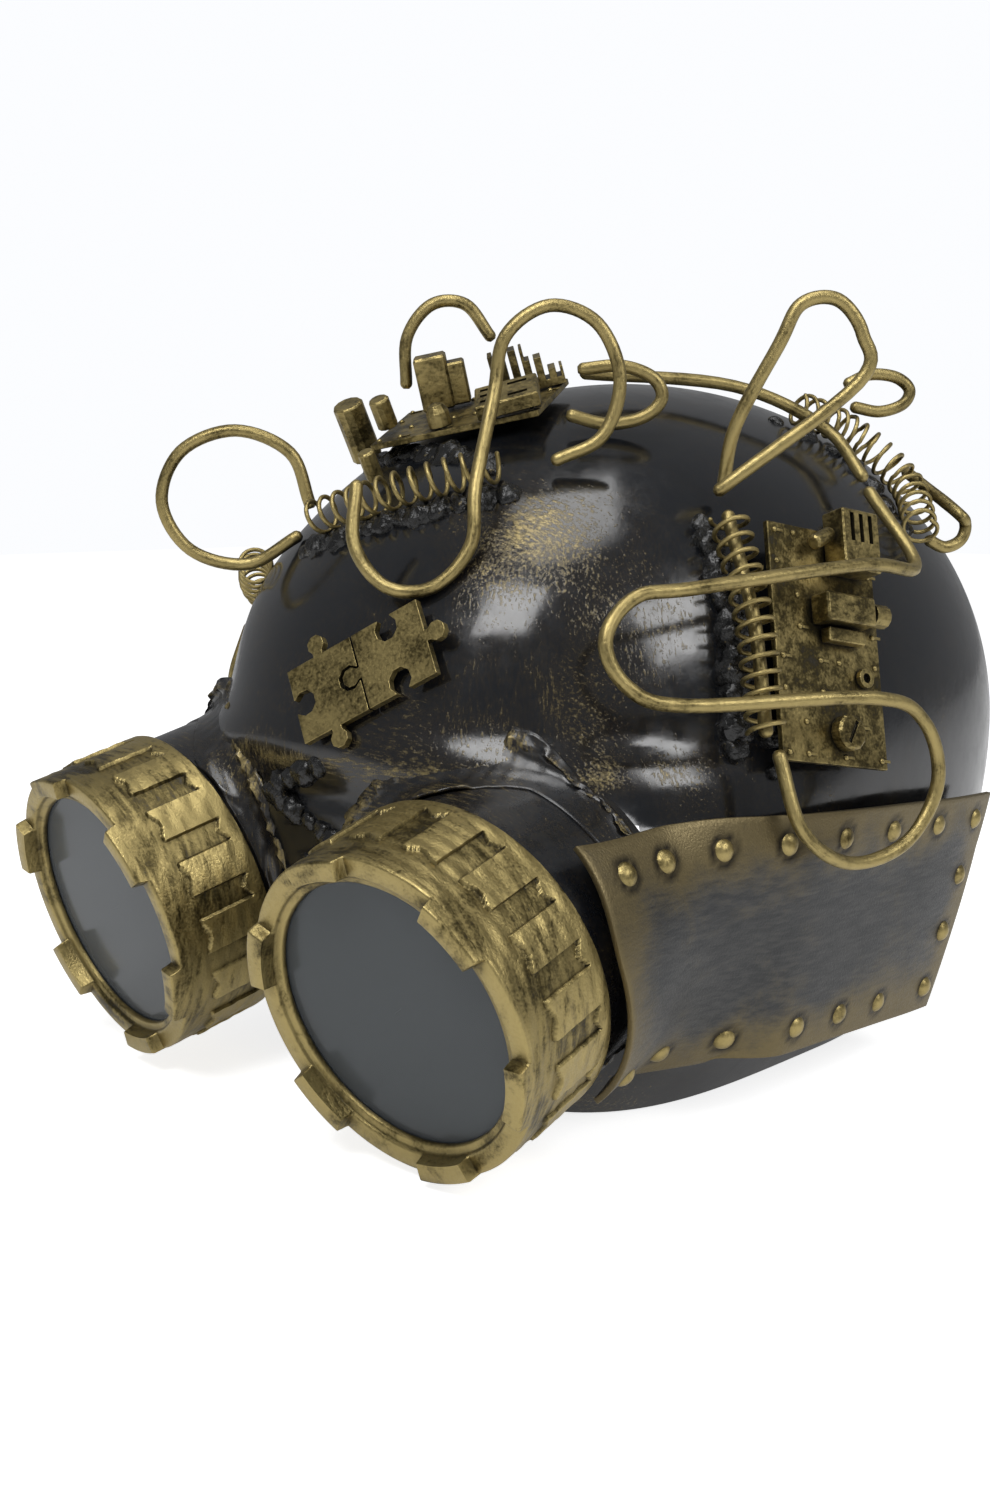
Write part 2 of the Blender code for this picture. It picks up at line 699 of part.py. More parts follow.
def wire_lines():
    """Centre line of each bent wire: oval arcs, and legs that run to them."""
    return {
        "front_left_loop": oval_arc((-43, 37, 146), (19, 17), -5, 325, 45),
        "back_arch": oval_arc((-16, 87, 181), (12, 16), 200, 25, 45),
        "s_loop": (oval_arc((36, 72, 173), (15, 18), -90, 190, 45, 5)
                   + oval_arc((21, 40, 143), (15, 19), 20, -200, 35, 18)),
        "flat_loop": oval_arc((36, 91, 171), (13, 7), 225, 480, 45),
        "crown_wire": [top_at(x, y, 7.0) for x, y in ((17, 104), (38, 135), (54, 151), (67, 148))],
        "side_wire": ([side_at(142, 142, 1, 9.0), side_at(137, 124, 1, 14.0), side_at(115, 124, 1, 16.0)]
                      + oval_arc((84, 60, 115), (18, 13), 75, 270, 65, 15)
                      + oval_arc((106, 101, 83), (22, 19), 90, -150, 75)
                      + [side_at(85, 86, 1, 10.0)]),
        "top_loop": ([Vector((69, 92, 148))] + oval_arc((84, 110, 179), (10, 13), -30, 170, 45)
                     + [Vector((69, 98, 163)), Vector((65, 99, 149))]),
        "rear_small_loop": oval_arc((57, 178, 174), (9, 5), 150, -130, 45),
        "rear_loop": ([top_at(57, 187, 6.0)] + oval_arc((80, 177, 138), (6, 5), 60, -140, 60)),
        "right_loop": [side_at(76 - 17 * math.cos(angle), 97 + 16 * math.sin(angle), -1, 4.0)
                       for angle in (math.radians(45 * step) for step in range(1, -4, -1))],
    }


def make_wires():
    for name, line in wire_lines().items():
        add_rod(name, smooth_path(line, 3), WIRE_RADIUS, "brass", 1)


# ---------------------------------------------------------------- circuit boards and components


def add_box(name, size, place, finish, bevel=0.5):
    """Box with chamfered edges standing on local z = 0."""
    mesh = bmesh.new()
    bmesh.ops.create_cube(mesh, size=1.0)
    bmesh.ops.scale(mesh, vec=size, verts=mesh.verts)
    bmesh.ops.translate(mesh, vec=(0, 0, size[2] / 2), verts=mesh.verts)
    if bevel:
        bmesh.ops.bevel(mesh, geom=mesh.edges[:], offset=bevel, segments=1, affect="EDGES")
    return add_object(name, mesh, finish, place)


def add_post(name, radius, length, place, finish, rim=0.5):
    """Round post standing on local z = 0, with a chamfered top rim."""
    mesh = bmesh.new()
    profile = [(0, 0), (radius, 0), (radius, length - rim), (radius - rim, length), (0, length)]
    add_turned(mesh, profile, 12, Matrix.Identity(4))
    return add_object(name, mesh, finish, place)


def on_board(board, x, y, tilt_x=0.0, tilt_y=0.0, turn=0.0, lift=None):
    """Place on a board's top face, tilted and turned by degrees."""
    height = BOARD_THICKNESS + GAP if lift is None else lift
    turning = (Matrix.Rotation(math.radians(turn), 4, "Z")
               @ Matrix.Rotation(math.radians(tilt_x), 4, "X")
               @ Matrix.Rotation(math.radians(tilt_y), 4, "Y"))
    return board @ Matrix.Translation((x, y, height)) @ turning


def make_heat_sink(place):
    """Stepped block with fins cut across it."""
    mesh = bmesh.new()
    outline = [(-9, 0), (9, 0), (9, 4.5), (5, 4.5), (5, 8), (0, 8), (0, 11.5), (-9, 11.5)]
    face = mesh.faces.new([mesh.verts.new((x, -3.5, z)) for x, z in outline])
    pushed = bmesh.ops.extrude_face_region(mesh, geom=[face])
    moved = [item for item in pushed["geom"] if isinstance(item, bmesh.types.BMVert)]
    bmesh.ops.translate(mesh, vec=(0, 7, 0), verts=moved)
    sink = add_object("heat_sink", mesh, "brass", place)
    slots = bmesh.new()
    for index in range(6):
        cell = bmesh.ops.create_cube(slots, size=1.0)["verts"]
        bmesh.ops.scale(slots, vec=(1.1, 12, 14), verts=cell)
        bmesh.ops.translate(slots, vec=(-7.3 + index * 3.0, 0, 9), verts=cell)
    add_boolean(sink, "DIFFERENCE", add_object("heat_sink_slot_cutter", slots, "brass", place))


def make_slotted_block(name, size, slot_places, slot_size, place):
    """Flat component with slots sunk in its top face."""
    block = add_box(name, size, place, "brass", 0.4)
    slots = bmesh.new()
    for x, y in slot_places:
        cell = bmesh.ops.create_cube(slots, size=1.0)["verts"]
        bmesh.ops.scale(slots, vec=slot_size, verts=cell)
        bmesh.ops.translate(slots, vec=(x, y, size[2]), verts=cell)
    add_boolean(block, "DIFFERENCE", add_object(name + "_slot_cutter", slots, "brass", place))


def leaning_post(name, radius, length, foot):
    """Capacitor can that leans forwards from its foot."""
    place = frame_at(Vector(foot), Vector((0.1, -0.52, 0.85)), Vector((0, 1, 0)))
    add_post(name, radius, length, place, "brass")


def make_front_board():
    """Scrap board on the crown above the brow, with the cans glued beside it."""
    middle = top_at(-4, 84, 1.4)
    board = frame_at(middle, shell_normal(middle), Vector((0, 1, 0)), 25)
    add_box("front_board", (46, 30, BOARD_THICKNESS), board, "board", 0.0)
    make_heat_sink(on_board(board, 15, 8.5, turn=18))
    make_slotted_block("slotted_chip", (16, 11, 4), [(-4, -3), (-4, 0), (-4, 3), (3, -3), (3, 3)],
                       (5, 1.2, 2.4), on_board(board, 15, -11, tilt_x=14, turn=14, lift=3.6))
    upright = on_board(board, -10.5, 7, tilt_y=4, turn=18, lift=2.6)
    relay = add_box("relay_block", (8.5, 7, 14), upright, "brass", 0.6)
    beside = upright @ Matrix.Translation((6.2, 0, 0.4))
    add_boolean(relay, "UNION", add_box("relay_side", (4.8, 6, 11), beside, "brass", 0.5))
    leaning_post("large_capacitor", 4.1, 16, top_at(-34, 76, 2.6))
    foot = board @ Vector((-20.5, -6.0, BOARD_THICKNESS + 2.0))
    leaning_post("middle_capacitor", 2.7, 8, foot)
    leaning_post("small_capacitor", 2.2, 8, top_at(-11, 58, 2.0))
    dome = bmesh.new()
    profile = [(0, 0), (3, 0), (3, 3.5), (2, 5.4), (0, 6.2)]
    add_turned(dome, profile, 12, Matrix.Identity(4))
    add_object("bead_component", dome, "brass", on_board(board, -4, -11.5))


def make_side_board():
    """Scrap board on the left temple with its connector, trimmers and eyelet."""
    middle = side_at(110, 111)
    board = frame_at(side_at(110, 111, 1, 1.4), shell_normal(middle), turn_deg=-10)
    add_box("side_board", (34, 57, BOARD_THICKNESS), on_board(board, 1, 0, lift=0), "board", 0.0)
    make_slotted_block("slotted_connector", (12, 15, 7), [(-3, 3), (0, 3), (3, 3)],
                       (1.3, 7, 3.0), on_board(board, 7.5, 25))
    add_post("side_capacitor", 1.8, 7, on_board(board, 0.2, 26.5, turn=29, tilt_y=-85, lift=5.4),
             "brass")
    add_box("trimmer_block", (16, 7, 6), on_board(board, 3.5, 8), "brass", 0.5)
    add_post("trimmer_knob", 2.9, 5, on_board(board, 12.0, 8, tilt_y=90, lift=5.2), "brass")
    add_box("side_chip", (12, 3.5, 3), on_board(board, 4.3, 2.2), "brass", 0.3)
    eyelet = [(1.2, 0), (2.4, 0), (2.4, 1.4), (1.2, 1.4)]
    add_object("board_eyelet", turned_ring(eyelet, 12), "brass", on_board(board, 11.4, -7))
    make_potentiometer(on_board(board, 3.6, -21))


def make_potentiometer(place):
    """Round trimmer with a screwdriver slot."""
    disc = add_post("potentiometer", 4.4, 3.2, place, "brass", 0.6)
    mesh = bmesh.new()
    bmesh.ops.create_cube(mesh, size=1.0)
    bmesh.ops.scale(mesh, vec=(1.0, 6.0, 1.6), verts=mesh.verts)
    bmesh.ops.translate(mesh, vec=(0, 0, 3.2), verts=mesh.verts)
    slot_place = place @ Matrix.Rotation(math.radians(-30), 4, "Z")
    add_boolean(disc, "DIFFERENCE", add_object("potentiometer_slot_cutter", mesh, "brass", slot_place))


# ---------------------------------------------------------------- assembly


def main():
    clear_scene()
    make_shell()
    for side in ("left", "right"):
        make_tube(side)
        make_cap_ring(side)
        make_lens(side)
        make_plate(side)
        for row, places in stud_rows().items():
            make_stud_strip(side, row, places)
    make_jigsaws()
    make_front_board()
    make_side_board()
    make_springs()
    make_wires()


main()
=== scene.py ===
import json
import math

import bmesh
import bpy
import numpy as np
from mathutils import Matrix, Vector, noise


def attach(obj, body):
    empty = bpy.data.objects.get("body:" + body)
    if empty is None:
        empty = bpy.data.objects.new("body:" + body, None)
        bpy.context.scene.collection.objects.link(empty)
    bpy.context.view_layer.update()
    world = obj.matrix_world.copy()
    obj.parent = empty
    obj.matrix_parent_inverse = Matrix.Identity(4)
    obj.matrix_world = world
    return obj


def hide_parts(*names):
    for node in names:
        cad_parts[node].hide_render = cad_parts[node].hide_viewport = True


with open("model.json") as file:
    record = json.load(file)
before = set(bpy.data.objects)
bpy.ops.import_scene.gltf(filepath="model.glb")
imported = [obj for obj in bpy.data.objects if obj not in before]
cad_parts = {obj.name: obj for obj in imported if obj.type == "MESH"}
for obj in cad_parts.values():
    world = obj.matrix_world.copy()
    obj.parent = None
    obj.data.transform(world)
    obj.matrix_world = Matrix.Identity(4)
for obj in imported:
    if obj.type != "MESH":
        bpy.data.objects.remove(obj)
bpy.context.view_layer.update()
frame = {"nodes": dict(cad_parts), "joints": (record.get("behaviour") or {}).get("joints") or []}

# Lengths here are millimetres in the mask's own axes: x = 0 on the mid-plane, y = 0 level with the
# goggles' front faces, z = 0 on the table. MASK_ORIGIN is that corner in the frame, in metres.
MM = 0.001
HINGES = {joint["child"]: joint for joint in frame["joints"] if joint["type"] == "hinge"}
LEFT_FRONT = Vector(HINGES["left_cap_ring"]["pos_m"])
RIGHT_FRONT = Vector(HINGES["right_cap_ring"]["pos_m"])
MASK_ORIGIN = Vector(((LEFT_FRONT.x + RIGHT_FRONT.x) / 2, LEFT_FRONT.y, 0.0))

# Head shell, as in the solid part.
HALF_WIDTH = 92.0
HALF_LENGTH = 119.0
CENTRE_Y = 141.0
WIDEST_Z = 81.0
CROWN_RISE = 96.0
CHEEK_DROP = 120.0
ROUND_EXPONENT = 2.2
CORNER_EXPONENT = 4.0
CORNER_TOP = 95.0
CORNER_FADE = 40.0
SHELL_WALL = 2.0
NOSE_NOTCH = 24.0
NAPE_CUT = 55.0

# Goggles.
CAP_RADIUS = 38.0
CAP_DEPTH = 27.0
CAP_BORE = 35.3
LIP_BORE = 31.2
TAB_RISE = 3.0
TAB_COUNT = 6
TAB_ARC_DEG = 25.0
TAB_START_DEG = {"left": -14.0, "right": -22.0}
BANNER_COUNT = 16
BANNER_START_DEG = {"left": 17.0, "right": 9.0}
BANNER_RISE = 0.8
SLOT_HALF_WIDTH = 3.0
SLOT_REAR = -23.5
TONGUE_FRONT = -8.2
TUBE_RADIUS = 36.5
TUBE_NECK = 34.6
TUBE_END = 58.0
LENS_RADIUS = 34.5

# Cheek plates, rods and coils.
PLATE_BEND_RADIUS = 39.6
PLATE_STANDOFF = 3.6
PLATE_THICKNESS = 1.5
RIVET_RADIUS = 3.1
WIRE_RADIUS = 1.6
HOLE_RADIUS = 35.3
COIL_RADIUS = 4.2
COIL_WIRE = 0.58
BOARD_THICKNESS = 1.6


# ---------------------------------------------------------------- small maths


def smoothstep(value):
    value = np.clip(value, 0.0, 1.0)
    return value * value * (3.0 - 2.0 * value)


def lerp(low, high, share):
    return low + (high - low) * share


def bump(distance, width):
    """One at distance zero, falling smoothly to nothing over about two widths."""
    return np.exp(-(np.asarray(distance) / width) ** 2)


def frame_at(origin, normal, upright=Vector((0, 0, 1)), turn_deg=0.0):
    """Place matrix whose local Z is the normal and whose local Y leans towards the upright."""
    axis_z = Vector(normal).normalized()
    axis_x = upright.cross(axis_z).normalized()
    axis_y = axis_z.cross(axis_x)
    basis = Matrix((axis_x, axis_y, axis_z)).transposed().to_4x4()
    return Matrix.Translation(origin) @ basis @ Matrix.Rotation(math.radians(turn_deg), 4, "Z")


def placed(points, place):
    """Points moved by a place matrix, as an array."""
    turn = np.array(place.to_3x3())
    return np.asarray(points, float) @ turn.T + np.array(place.translation)


def barrel_place(side):
    """Goggle's place: local Z looks forwards along the axis that its ring screws on."""
    hinge = HINGES[side + "_cap_ring"]
    origin = (Vector(hinge["pos_m"]) - MASK_ORIGIN) / MM
    return frame_at(origin, Vector(hinge["axis"]))


# ---------------------------------------------------------------- the head shell's surface


def level_scale(z):
    z = np.asarray(z, float)
    reach = np.where(z > WIDEST_Z, CROWN_RISE, CHEEK_DROP)
    return np.sqrt(np.clip(1.0 - ((z - WIDEST_Z) / reach) ** 2, 0.0, 1.0))


def plan_exponent(in_front, z):
    """Squarer corners low on the front half, round everywhere else."""
    squareness = smoothstep((CORNER_TOP - np.asarray(z, float)) / CORNER_FADE)
    return lerp(ROUND_EXPONENT, CORNER_EXPONENT, np.where(in_front, squareness, 0.0))


def shell_field(point):
    """Negative inside the shell's outer surface, zero on it and positive outside."""
    x, y, z = point
    scale = float(level_scale(z))
    if scale < 1e-4:
        return 10.0
    power = float(plan_exponent(y < CENTRE_Y, z))
    across = (abs(x) / (HALF_WIDTH * scale)) ** power
    along = (abs(y - CENTRE_Y) / (HALF_LENGTH * scale)) ** power
    return across + along - 1.0


def shell_normal(point):
    step = 0.5
    slopes = []
    for axis in range(3):
        ahead, behind = Vector(point), Vector(point)
        ahead[axis] += step
        behind[axis] -= step
        slopes.append(shell_field(ahead) - shell_field(behind))
    return Vector(slopes).normalized()


def seat(start, heading, lift=0.0, stride=2.0):
    """The point where a line from outside meets the shell, raised off it by lift."""
    heading = Vector(heading).normalized()
    point = Vector(start)
    while shell_field(point) > 0.0:
        point = point + heading * stride
    inside, outside = point, point - heading * stride
    for _ in range(16):
        middle = (inside + outside) / 2
        if shell_field(middle) > 0.0:
            outside = middle
        else:
            inside = middle
    return outside + shell_normal(outside) * lift


def front_at(x, z, lift=0.0):
    return seat((x, -10, z), (0, 1, 0), lift)


def top_at(x, y, lift=0.0):
    return seat((x, y, 190), (0, 0, -1), lift)


def side_at(y, z, side=1, lift=0.0):
    return seat((side * 104, y, z), (-side, 0, 0), lift)


def bottom_edge(angle_deg):
    """Height of the shell's lower edge; -90 degrees is the nose and +90 the nape."""
    wrapped = np.where(angle_deg > 180.0, angle_deg - 360.0, angle_deg)
    notch = NOSE_NOTCH * (1.0 - smoothstep((np.abs(wrapped + 90.0) - 4.0) / 11.0))
    side_angle = np.where(wrapped > 90.0, 180.0 - wrapped, wrapped)
    return notch + NAPE_CUT * smoothstep((side_angle - 20.0) / 60.0)


# ---------------------------------------------------------------- building pieces


def new_piece(name, verts, faces, material, body="helmet", sharp_deg=40.0, fields=None):
    """A mesh piece from millimetre points; fields are per-point numbers its shader reads."""
    data = bpy.data.meshes.new(name)
    points = np.asarray(verts, float) * MM + np.array(MASK_ORIGIN)
    data.from_pydata(points.tolist(), [], [tuple(int(i) for i in face) for face in faces])
    for field, values in (fields or {}).items():
        kind = "FLOAT_VECTOR" if np.ndim(values) == 2 else "FLOAT"
        layer = data.attributes.new(field, kind, "POINT")
        layer.data.foreach_set("vector" if kind == "FLOAT_VECTOR" else "value",
                               np.asarray(values, np.float32).ravel())
    data.validate()
    data.shade_smooth()
    data.set_sharp_from_angle(angle=math.radians(sharp_deg))
    data.materials.append(material)
    item = bpy.data.objects.new(name, data)
    bpy.context.scene.collection.objects.link(item)
    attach(item, body)
    return item


def grid_faces(rows, columns, close_rows=False, close_columns=False):
    """Quads over a rows by columns grid of points stored row by row."""
    row = np.arange(rows if close_rows else rows - 1)
    column = np.arange(columns if close_columns else columns - 1)
    row, column = np.meshgrid(row, column, indexing="ij")
    after_row, after_column = (row + 1) % rows, (column + 1) % columns
    quads = np.stack([row * columns + column, row * columns + after_column,
                      after_row * columns + after_column, after_row * columns + column], -1)
    return quads.reshape(-1, 4)


def turned(profile, steps):
    """Points and faces of an outline of (radius, height) pairs spun about local Z."""
    profile = np.array(profile, float)
    angle = np.arange(steps) * math.tau / steps
    points = np.stack([profile[:, None, 0] * np.cos(angle), profile[:, None, 0] * np.sin(angle),
                       np.broadcast_to(profile[:, None, 1], (len(profile), steps))], -1)
    return points.reshape(-1, 3), grid_faces(len(profile), steps, False, True)[:, ::-1]


def closed_turn(profile, steps):
    points, _ = turned(profile, steps)
    return points, grid_faces(len(profile), steps, True, True)[:, ::-1]


def joined(parts):
    """One set of points and faces from several."""
    verts, faces, start = [], [], 0
    for points, quads in parts:
        verts.append(np.asarray(points, float))
        faces += [tuple(int(index) + start for index in face) for face in quads]
        start += len(points)
    return np.vstack(verts), faces


def smooth_path(points, per_span):
    """Catmull-Rom curve through the points, with per_span steps between neighbours."""
    points = [Vector(point) for point in points]
    padded = [points[0] * 2 - points[1]] + points + [points[-1] * 2 - points[-2]]
    path = []
    for before, start, end, after in zip(padded, padded[1:], padded[2:], padded[3:]):
        for step in range(per_span):
            t = step / per_span
            path.append(0.5 * (2 * start + (end - before) * t
                               + (2 * before - 5 * start + 4 * end - after) * t ** 2
                               + (3 * start - before - 3 * end + after) * t ** 3))
    path.append(points[-1])
    return path


def swept(path, radius, sides=12, flat=1.0):
    """Round bar along a path with rounded ends; returns points, faces and run coordinates."""
    line = np.array([list(point) for point in path], float)
    count = len(line)
    radius = np.broadcast_to(np.asarray(radius, float), (count,)).copy()
    tangent = np.gradient(line, axis=0)
    tangent /= np.linalg.norm(tangent, axis=1, keepdims=True)
    across = np.array(Vector(tangent[0]).orthogonal().normalized())
    run = np.concatenate([[0.0], np.cumsum(np.linalg.norm(np.diff(line, axis=0), axis=1))])
    rings, runs = [], []
    stations = [(0, -0.75, 0.5), (0, -0.35, 0.88)] + [(index, 0.0, 1.0) for index in range(count)]
    stations += [(count - 1, 0.35, 0.88), (count - 1, 0.75, 0.5)]
    turn = np.arange(sides) * math.tau / sides
    for index, push, share in stations:
        heading = tangent[index]
        across = across - heading * across.dot(heading)
        across /= np.linalg.norm(across)
        beside = np.cross(heading, across)
        centre = line[index] + heading * push * radius[index]
        ring = (np.cos(turn)[:, None] * across + flat * np.sin(turn)[:, None] * beside)
        rings.append(centre + ring * radius[index] * share)
        runs.append(np.stack([np.full(sides, run[index]), np.cos(turn), np.sin(turn)], -1))
    points = np.vstack(rings)
    faces = [tuple(face) for face in grid_faces(len(rings), sides, False, True)]
    faces.append(tuple(range(sides))[::-1])
    faces.append(tuple(range(len(points) - sides, len(points))))
    return points, faces, np.vstack(runs)


def box_part(size, place, bevel=0.4):
    """Points and faces of a chamfered box standing on local z = 0."""
    mesh = bmesh.new()
    bmesh.ops.create_cube(mesh, size=1.0)
    bmesh.ops.scale(mesh, vec=size, verts=mesh.verts)
    bmesh.ops.translate(mesh, vec=(0, 0, size[2] / 2), verts=mesh.verts)
    bmesh.ops.bevel(mesh, geom=mesh.edges[:], offset=bevel, segments=2, affect="EDGES",
                    profile=0.6)
    mesh.verts.index_update()
    points = placed([list(vert.co) for vert in mesh.verts], place)
    faces = [tuple(vert.index for vert in face.verts) for face in mesh.faces]
    mesh.free()
    return points, faces


def dome_part(radius, height, place, steps=20, foot=0.0):
    """Low dome, such as a rivet head or a drop of solder, seated foot below its place."""
    tilt = np.linspace(0.0, math.pi / 2, 7)
    profile = [(radius, -foot)] + [(radius * math.cos(a), height * math.sin(a)) for a in tilt[:-1]]
    profile.append((radius * 0.02, height))
    points, faces = turned(profile, steps)
    faces = [tuple(face) for face in faces]
    faces.append(tuple(range(len(points) - steps, len(points))))
    return placed(points, place), faces


# ---------------------------------------------------------------- materials


def plug(tree, value, socket):
    if isinstance(value, bpy.types.NodeSocket):
        tree.links.new(value, socket)
    else:
        socket.default_value = value


def add_node(tree, kind, inputs=None, **settings):
    made = tree.nodes.new("ShaderNode" + kind)
    for name, value in settings.items():
        setattr(made, name, value)
    for name, value in (inputs or {}).items():
        plug(tree, value, made.inputs[name])
    return made


def maths(tree, operation, first, second=0.0, clamp=False):
    made = add_node(tree, "Math", {0: first, 1: second}, operation=operation, use_clamp=clamp)
    return made.outputs[0]


def object_coords(tree, scale=(1, 1, 1), turn=(0, 0, 0)):
    """Metres in the frame, stretched and turned; every piece has its origin at the frame's."""
    coords = add_node(tree, "TexCoord").outputs["Object"]
    mapping = add_node(tree, "Mapping", {"Vector": coords, "Scale": scale, "Rotation": turn})
    return mapping.outputs[0]


def noise_of(tree, vector, scale, detail=3.0, roughness=0.55, distortion=0.0):
    made = add_node(tree, "TexNoise", {"Vector": vector, "Scale": scale, "Detail": detail,
                                       "Roughness": roughness, "Distortion": distortion})
    return made.outputs[0]


def remap(tree, value, low, high, to_low=0.0, to_high=1.0):
    made = add_node(tree, "MapRange", {"Value": value, "From Min": low, "From Max": high,
                                       "To Min": to_low, "To Max": to_high},
                    interpolation_type="SMOOTHSTEP")
    return made.outputs[0]


def ramp(tree, value, stops):
    made = add_node(tree, "ValToRGB", {"Fac": value})
    scale = made.color_ramp
    while len(scale.elements) < len(stops):
        scale.elements.new(0.5)
    for element, (place, colour) in zip(scale.elements, stops):
        element.position = place
        element.color = (*colour, 1.0)
    return made.outputs["Color"]


def mix_colour(tree, share, first, second):
    made = add_node(tree, "Mix", data_type="RGBA")
    plug(tree, share, made.inputs[0])
    for socket, colour in ((made.inputs[6], first), (made.inputs[7], second)):
        plug(tree, colour if isinstance(colour, bpy.types.NodeSocket) else (*colour, 1.0), socket)
    return made.outputs[2]


def field_of(tree, name, output="Fac"):
    return add_node(tree, "Attribute", attribute_name=name).outputs[output]


def fresh_material(name):
    material = bpy.data.materials.new(name)
    material.use_nodes = True
    tree = material.node_tree
    return material, tree, tree.nodes["Principled BSDF"]


def bumped(tree, shader, height, distance, strength=1.0):
    made = add_node(tree, "Bump", {"Height": height, "Distance": distance, "Strength": strength})
    plug(tree, made.outputs[0], shader.inputs["Normal"])


DARK = (0.007, 0.006, 0.004)
UMBER = (0.034, 0.027, 0.012)
BRONZE = (0.105, 0.082, 0.032)
GOLD = (0.370, 0.292, 0.120)


def antique_brass(name, wear=0.5, streaks=(700, 700, 120), turn=(0, 0, 0), run=False, field=None,
                  contrast=1.0, recess_mm=3.0):
    """Gold rubbed over black: bright where handled and streaked by the brush; dark in recesses and
    close to other parts, partly the black base left in hollows and partly painted shade.
    """
    material, tree, shader = fresh_material(name)
    plain = object_coords(tree)
    patch = noise_of(tree, plain, 75.0, 4.0, 0.6, 0.4)
    grain = noise_of(tree, plain, 1500.0, 2.0)
    if run:
        along = add_node(tree, "Mapping", {"Vector": field_of(tree, "run", "Vector"),
                                           "Scale": (0.16, 2.2, 2.2)}).outputs[0]
        streak = noise_of(tree, along, 1.0, 5.0, 0.65)
    else:
        streak = noise_of(tree, object_coords(tree, streaks, turn), 1.0, 4.0, 0.6)
    # Occlusion lookup: darkens hollows and spots crowded by other parts; partly the black base left
    # in hollows, partly painted shade.
    hollow = add_node(tree, "AmbientOcclusion", {"Distance": recess_mm * MM}, samples=4)
    open_air = remap(tree, hollow.outputs["AO"], 0.25, 0.95)
    wear_and_shade = maths(tree, "MULTIPLY", patch, 1.15)
    wear_and_shade = maths(tree, "ADD", wear_and_shade, maths(tree, "MULTIPLY", streak, 0.75))
    wear_and_shade = maths(tree, "ADD", wear_and_shade, maths(tree, "MULTIPLY", grain, 0.35))
    wear_and_shade = remap(tree, wear_and_shade, 1.1 - wear - 0.30 / contrast, 1.1 - wear + 0.62 / contrast)
    if field:
        wear_and_shade = maths(tree, "ADD", wear_and_shade, maths(tree, "MULTIPLY", field_of(tree, field), 0.42))
        wear_and_shade = maths(tree, "SUBTRACT", wear_and_shade, 0.24)
    # Darkened by the occlusion lookup: partly the black base left in hollows, partly painted shade.
    wear_and_shade = maths(tree, "MULTIPLY", wear_and_shade, open_air, clamp=True)
    colour = ramp(tree, wear_and_shade, [(0.0, DARK), (0.28, UMBER), (0.60, BRONZE), (1.0, GOLD)])
    plug(tree, colour, shader.inputs["Base Color"])
    plug(tree, remap(tree, wear_and_shade, 0.05, 0.45, 0.15, 0.92), shader.inputs["Metallic"])
    plug(tree, remap(tree, grain, 0.2, 0.8, 0.30, 0.52), shader.inputs["Roughness"])
    relief = maths(tree, "ADD", maths(tree, "MULTIPLY", streak, 0.6),
                   maths(tree, "MULTIPLY", grain, 0.5))
    bumped(tree, shader, relief, 0.00018)
    return material


def gilded_black(name, base=(0.006, 0.007, 0.009), field=None, amount=0.0, rough=(0.10, 0.24)):
    """Glossy black plastic with gold dragged over it by a nearly dry brush."""
    material, tree, shader = fresh_material(name)
    plain = object_coords(tree)
    drag_a = noise_of(tree, object_coords(tree, (1500, 1500, 160), (0.5, 0.35, 0.2)), 1.0, 3.0)
    drag_b = noise_of(tree, object_coords(tree, (170, 1400, 1400), (0.2, 0.9, 0.5)), 1.0, 3.0)
    patch = noise_of(tree, plain, 45.0, 5.0, 0.62, 0.6)
    grain = noise_of(tree, plain, 2200.0, 2.0)
    choose = remap(tree, noise_of(tree, plain, 22.0, 1.0), 0.45, 0.55)
    drag = add_node(tree, "Mix", {"Factor": choose, "A": drag_a, "B": drag_b}).outputs[0]
    cover = maths(tree, "ADD", field_of(tree, field), amount) if field else amount
    level = maths(tree, "ADD", maths(tree, "MULTIPLY", drag, 0.75),
                  maths(tree, "MULTIPLY", grain, 0.30))
    level = maths(tree, "ADD", level, maths(tree, "MULTIPLY", patch, 0.60))
    level = maths(tree, "ADD", level, maths(tree, "MULTIPLY", cover, 0.50))
    gold = remap(tree, level, 1.06, 1.38)
    haze = remap(tree, level, 0.82, 1.22)
    colour = mix_colour(tree, maths(tree, "MULTIPLY", haze, 0.55), base, (0.030, 0.021, 0.010))
    colour = mix_colour(tree, gold, colour, (0.26, 0.205, 0.090))
    plug(tree, colour, shader.inputs["Base Color"])
    plug(tree, maths(tree, "MULTIPLY", gold, 0.85), shader.inputs["Metallic"])
    scuffs = remap(tree, noise_of(tree, plain, 160.0, 6.0, 0.7), 0.3, 0.7, *rough)
    plug(tree, maths(tree, "ADD", scuffs, maths(tree, "MULTIPLY", gold, 0.20)),
         shader.inputs["Roughness"])
    shader.inputs["Coat Weight"].default_value = 0.15
    shader.inputs["Coat Roughness"].default_value = 0.12
    bumped(tree, shader, maths(tree, "ADD", maths(tree, "MULTIPLY", gold, 0.6),
                               maths(tree, "MULTIPLY", patch, 0.8)), 0.00012)
    return material


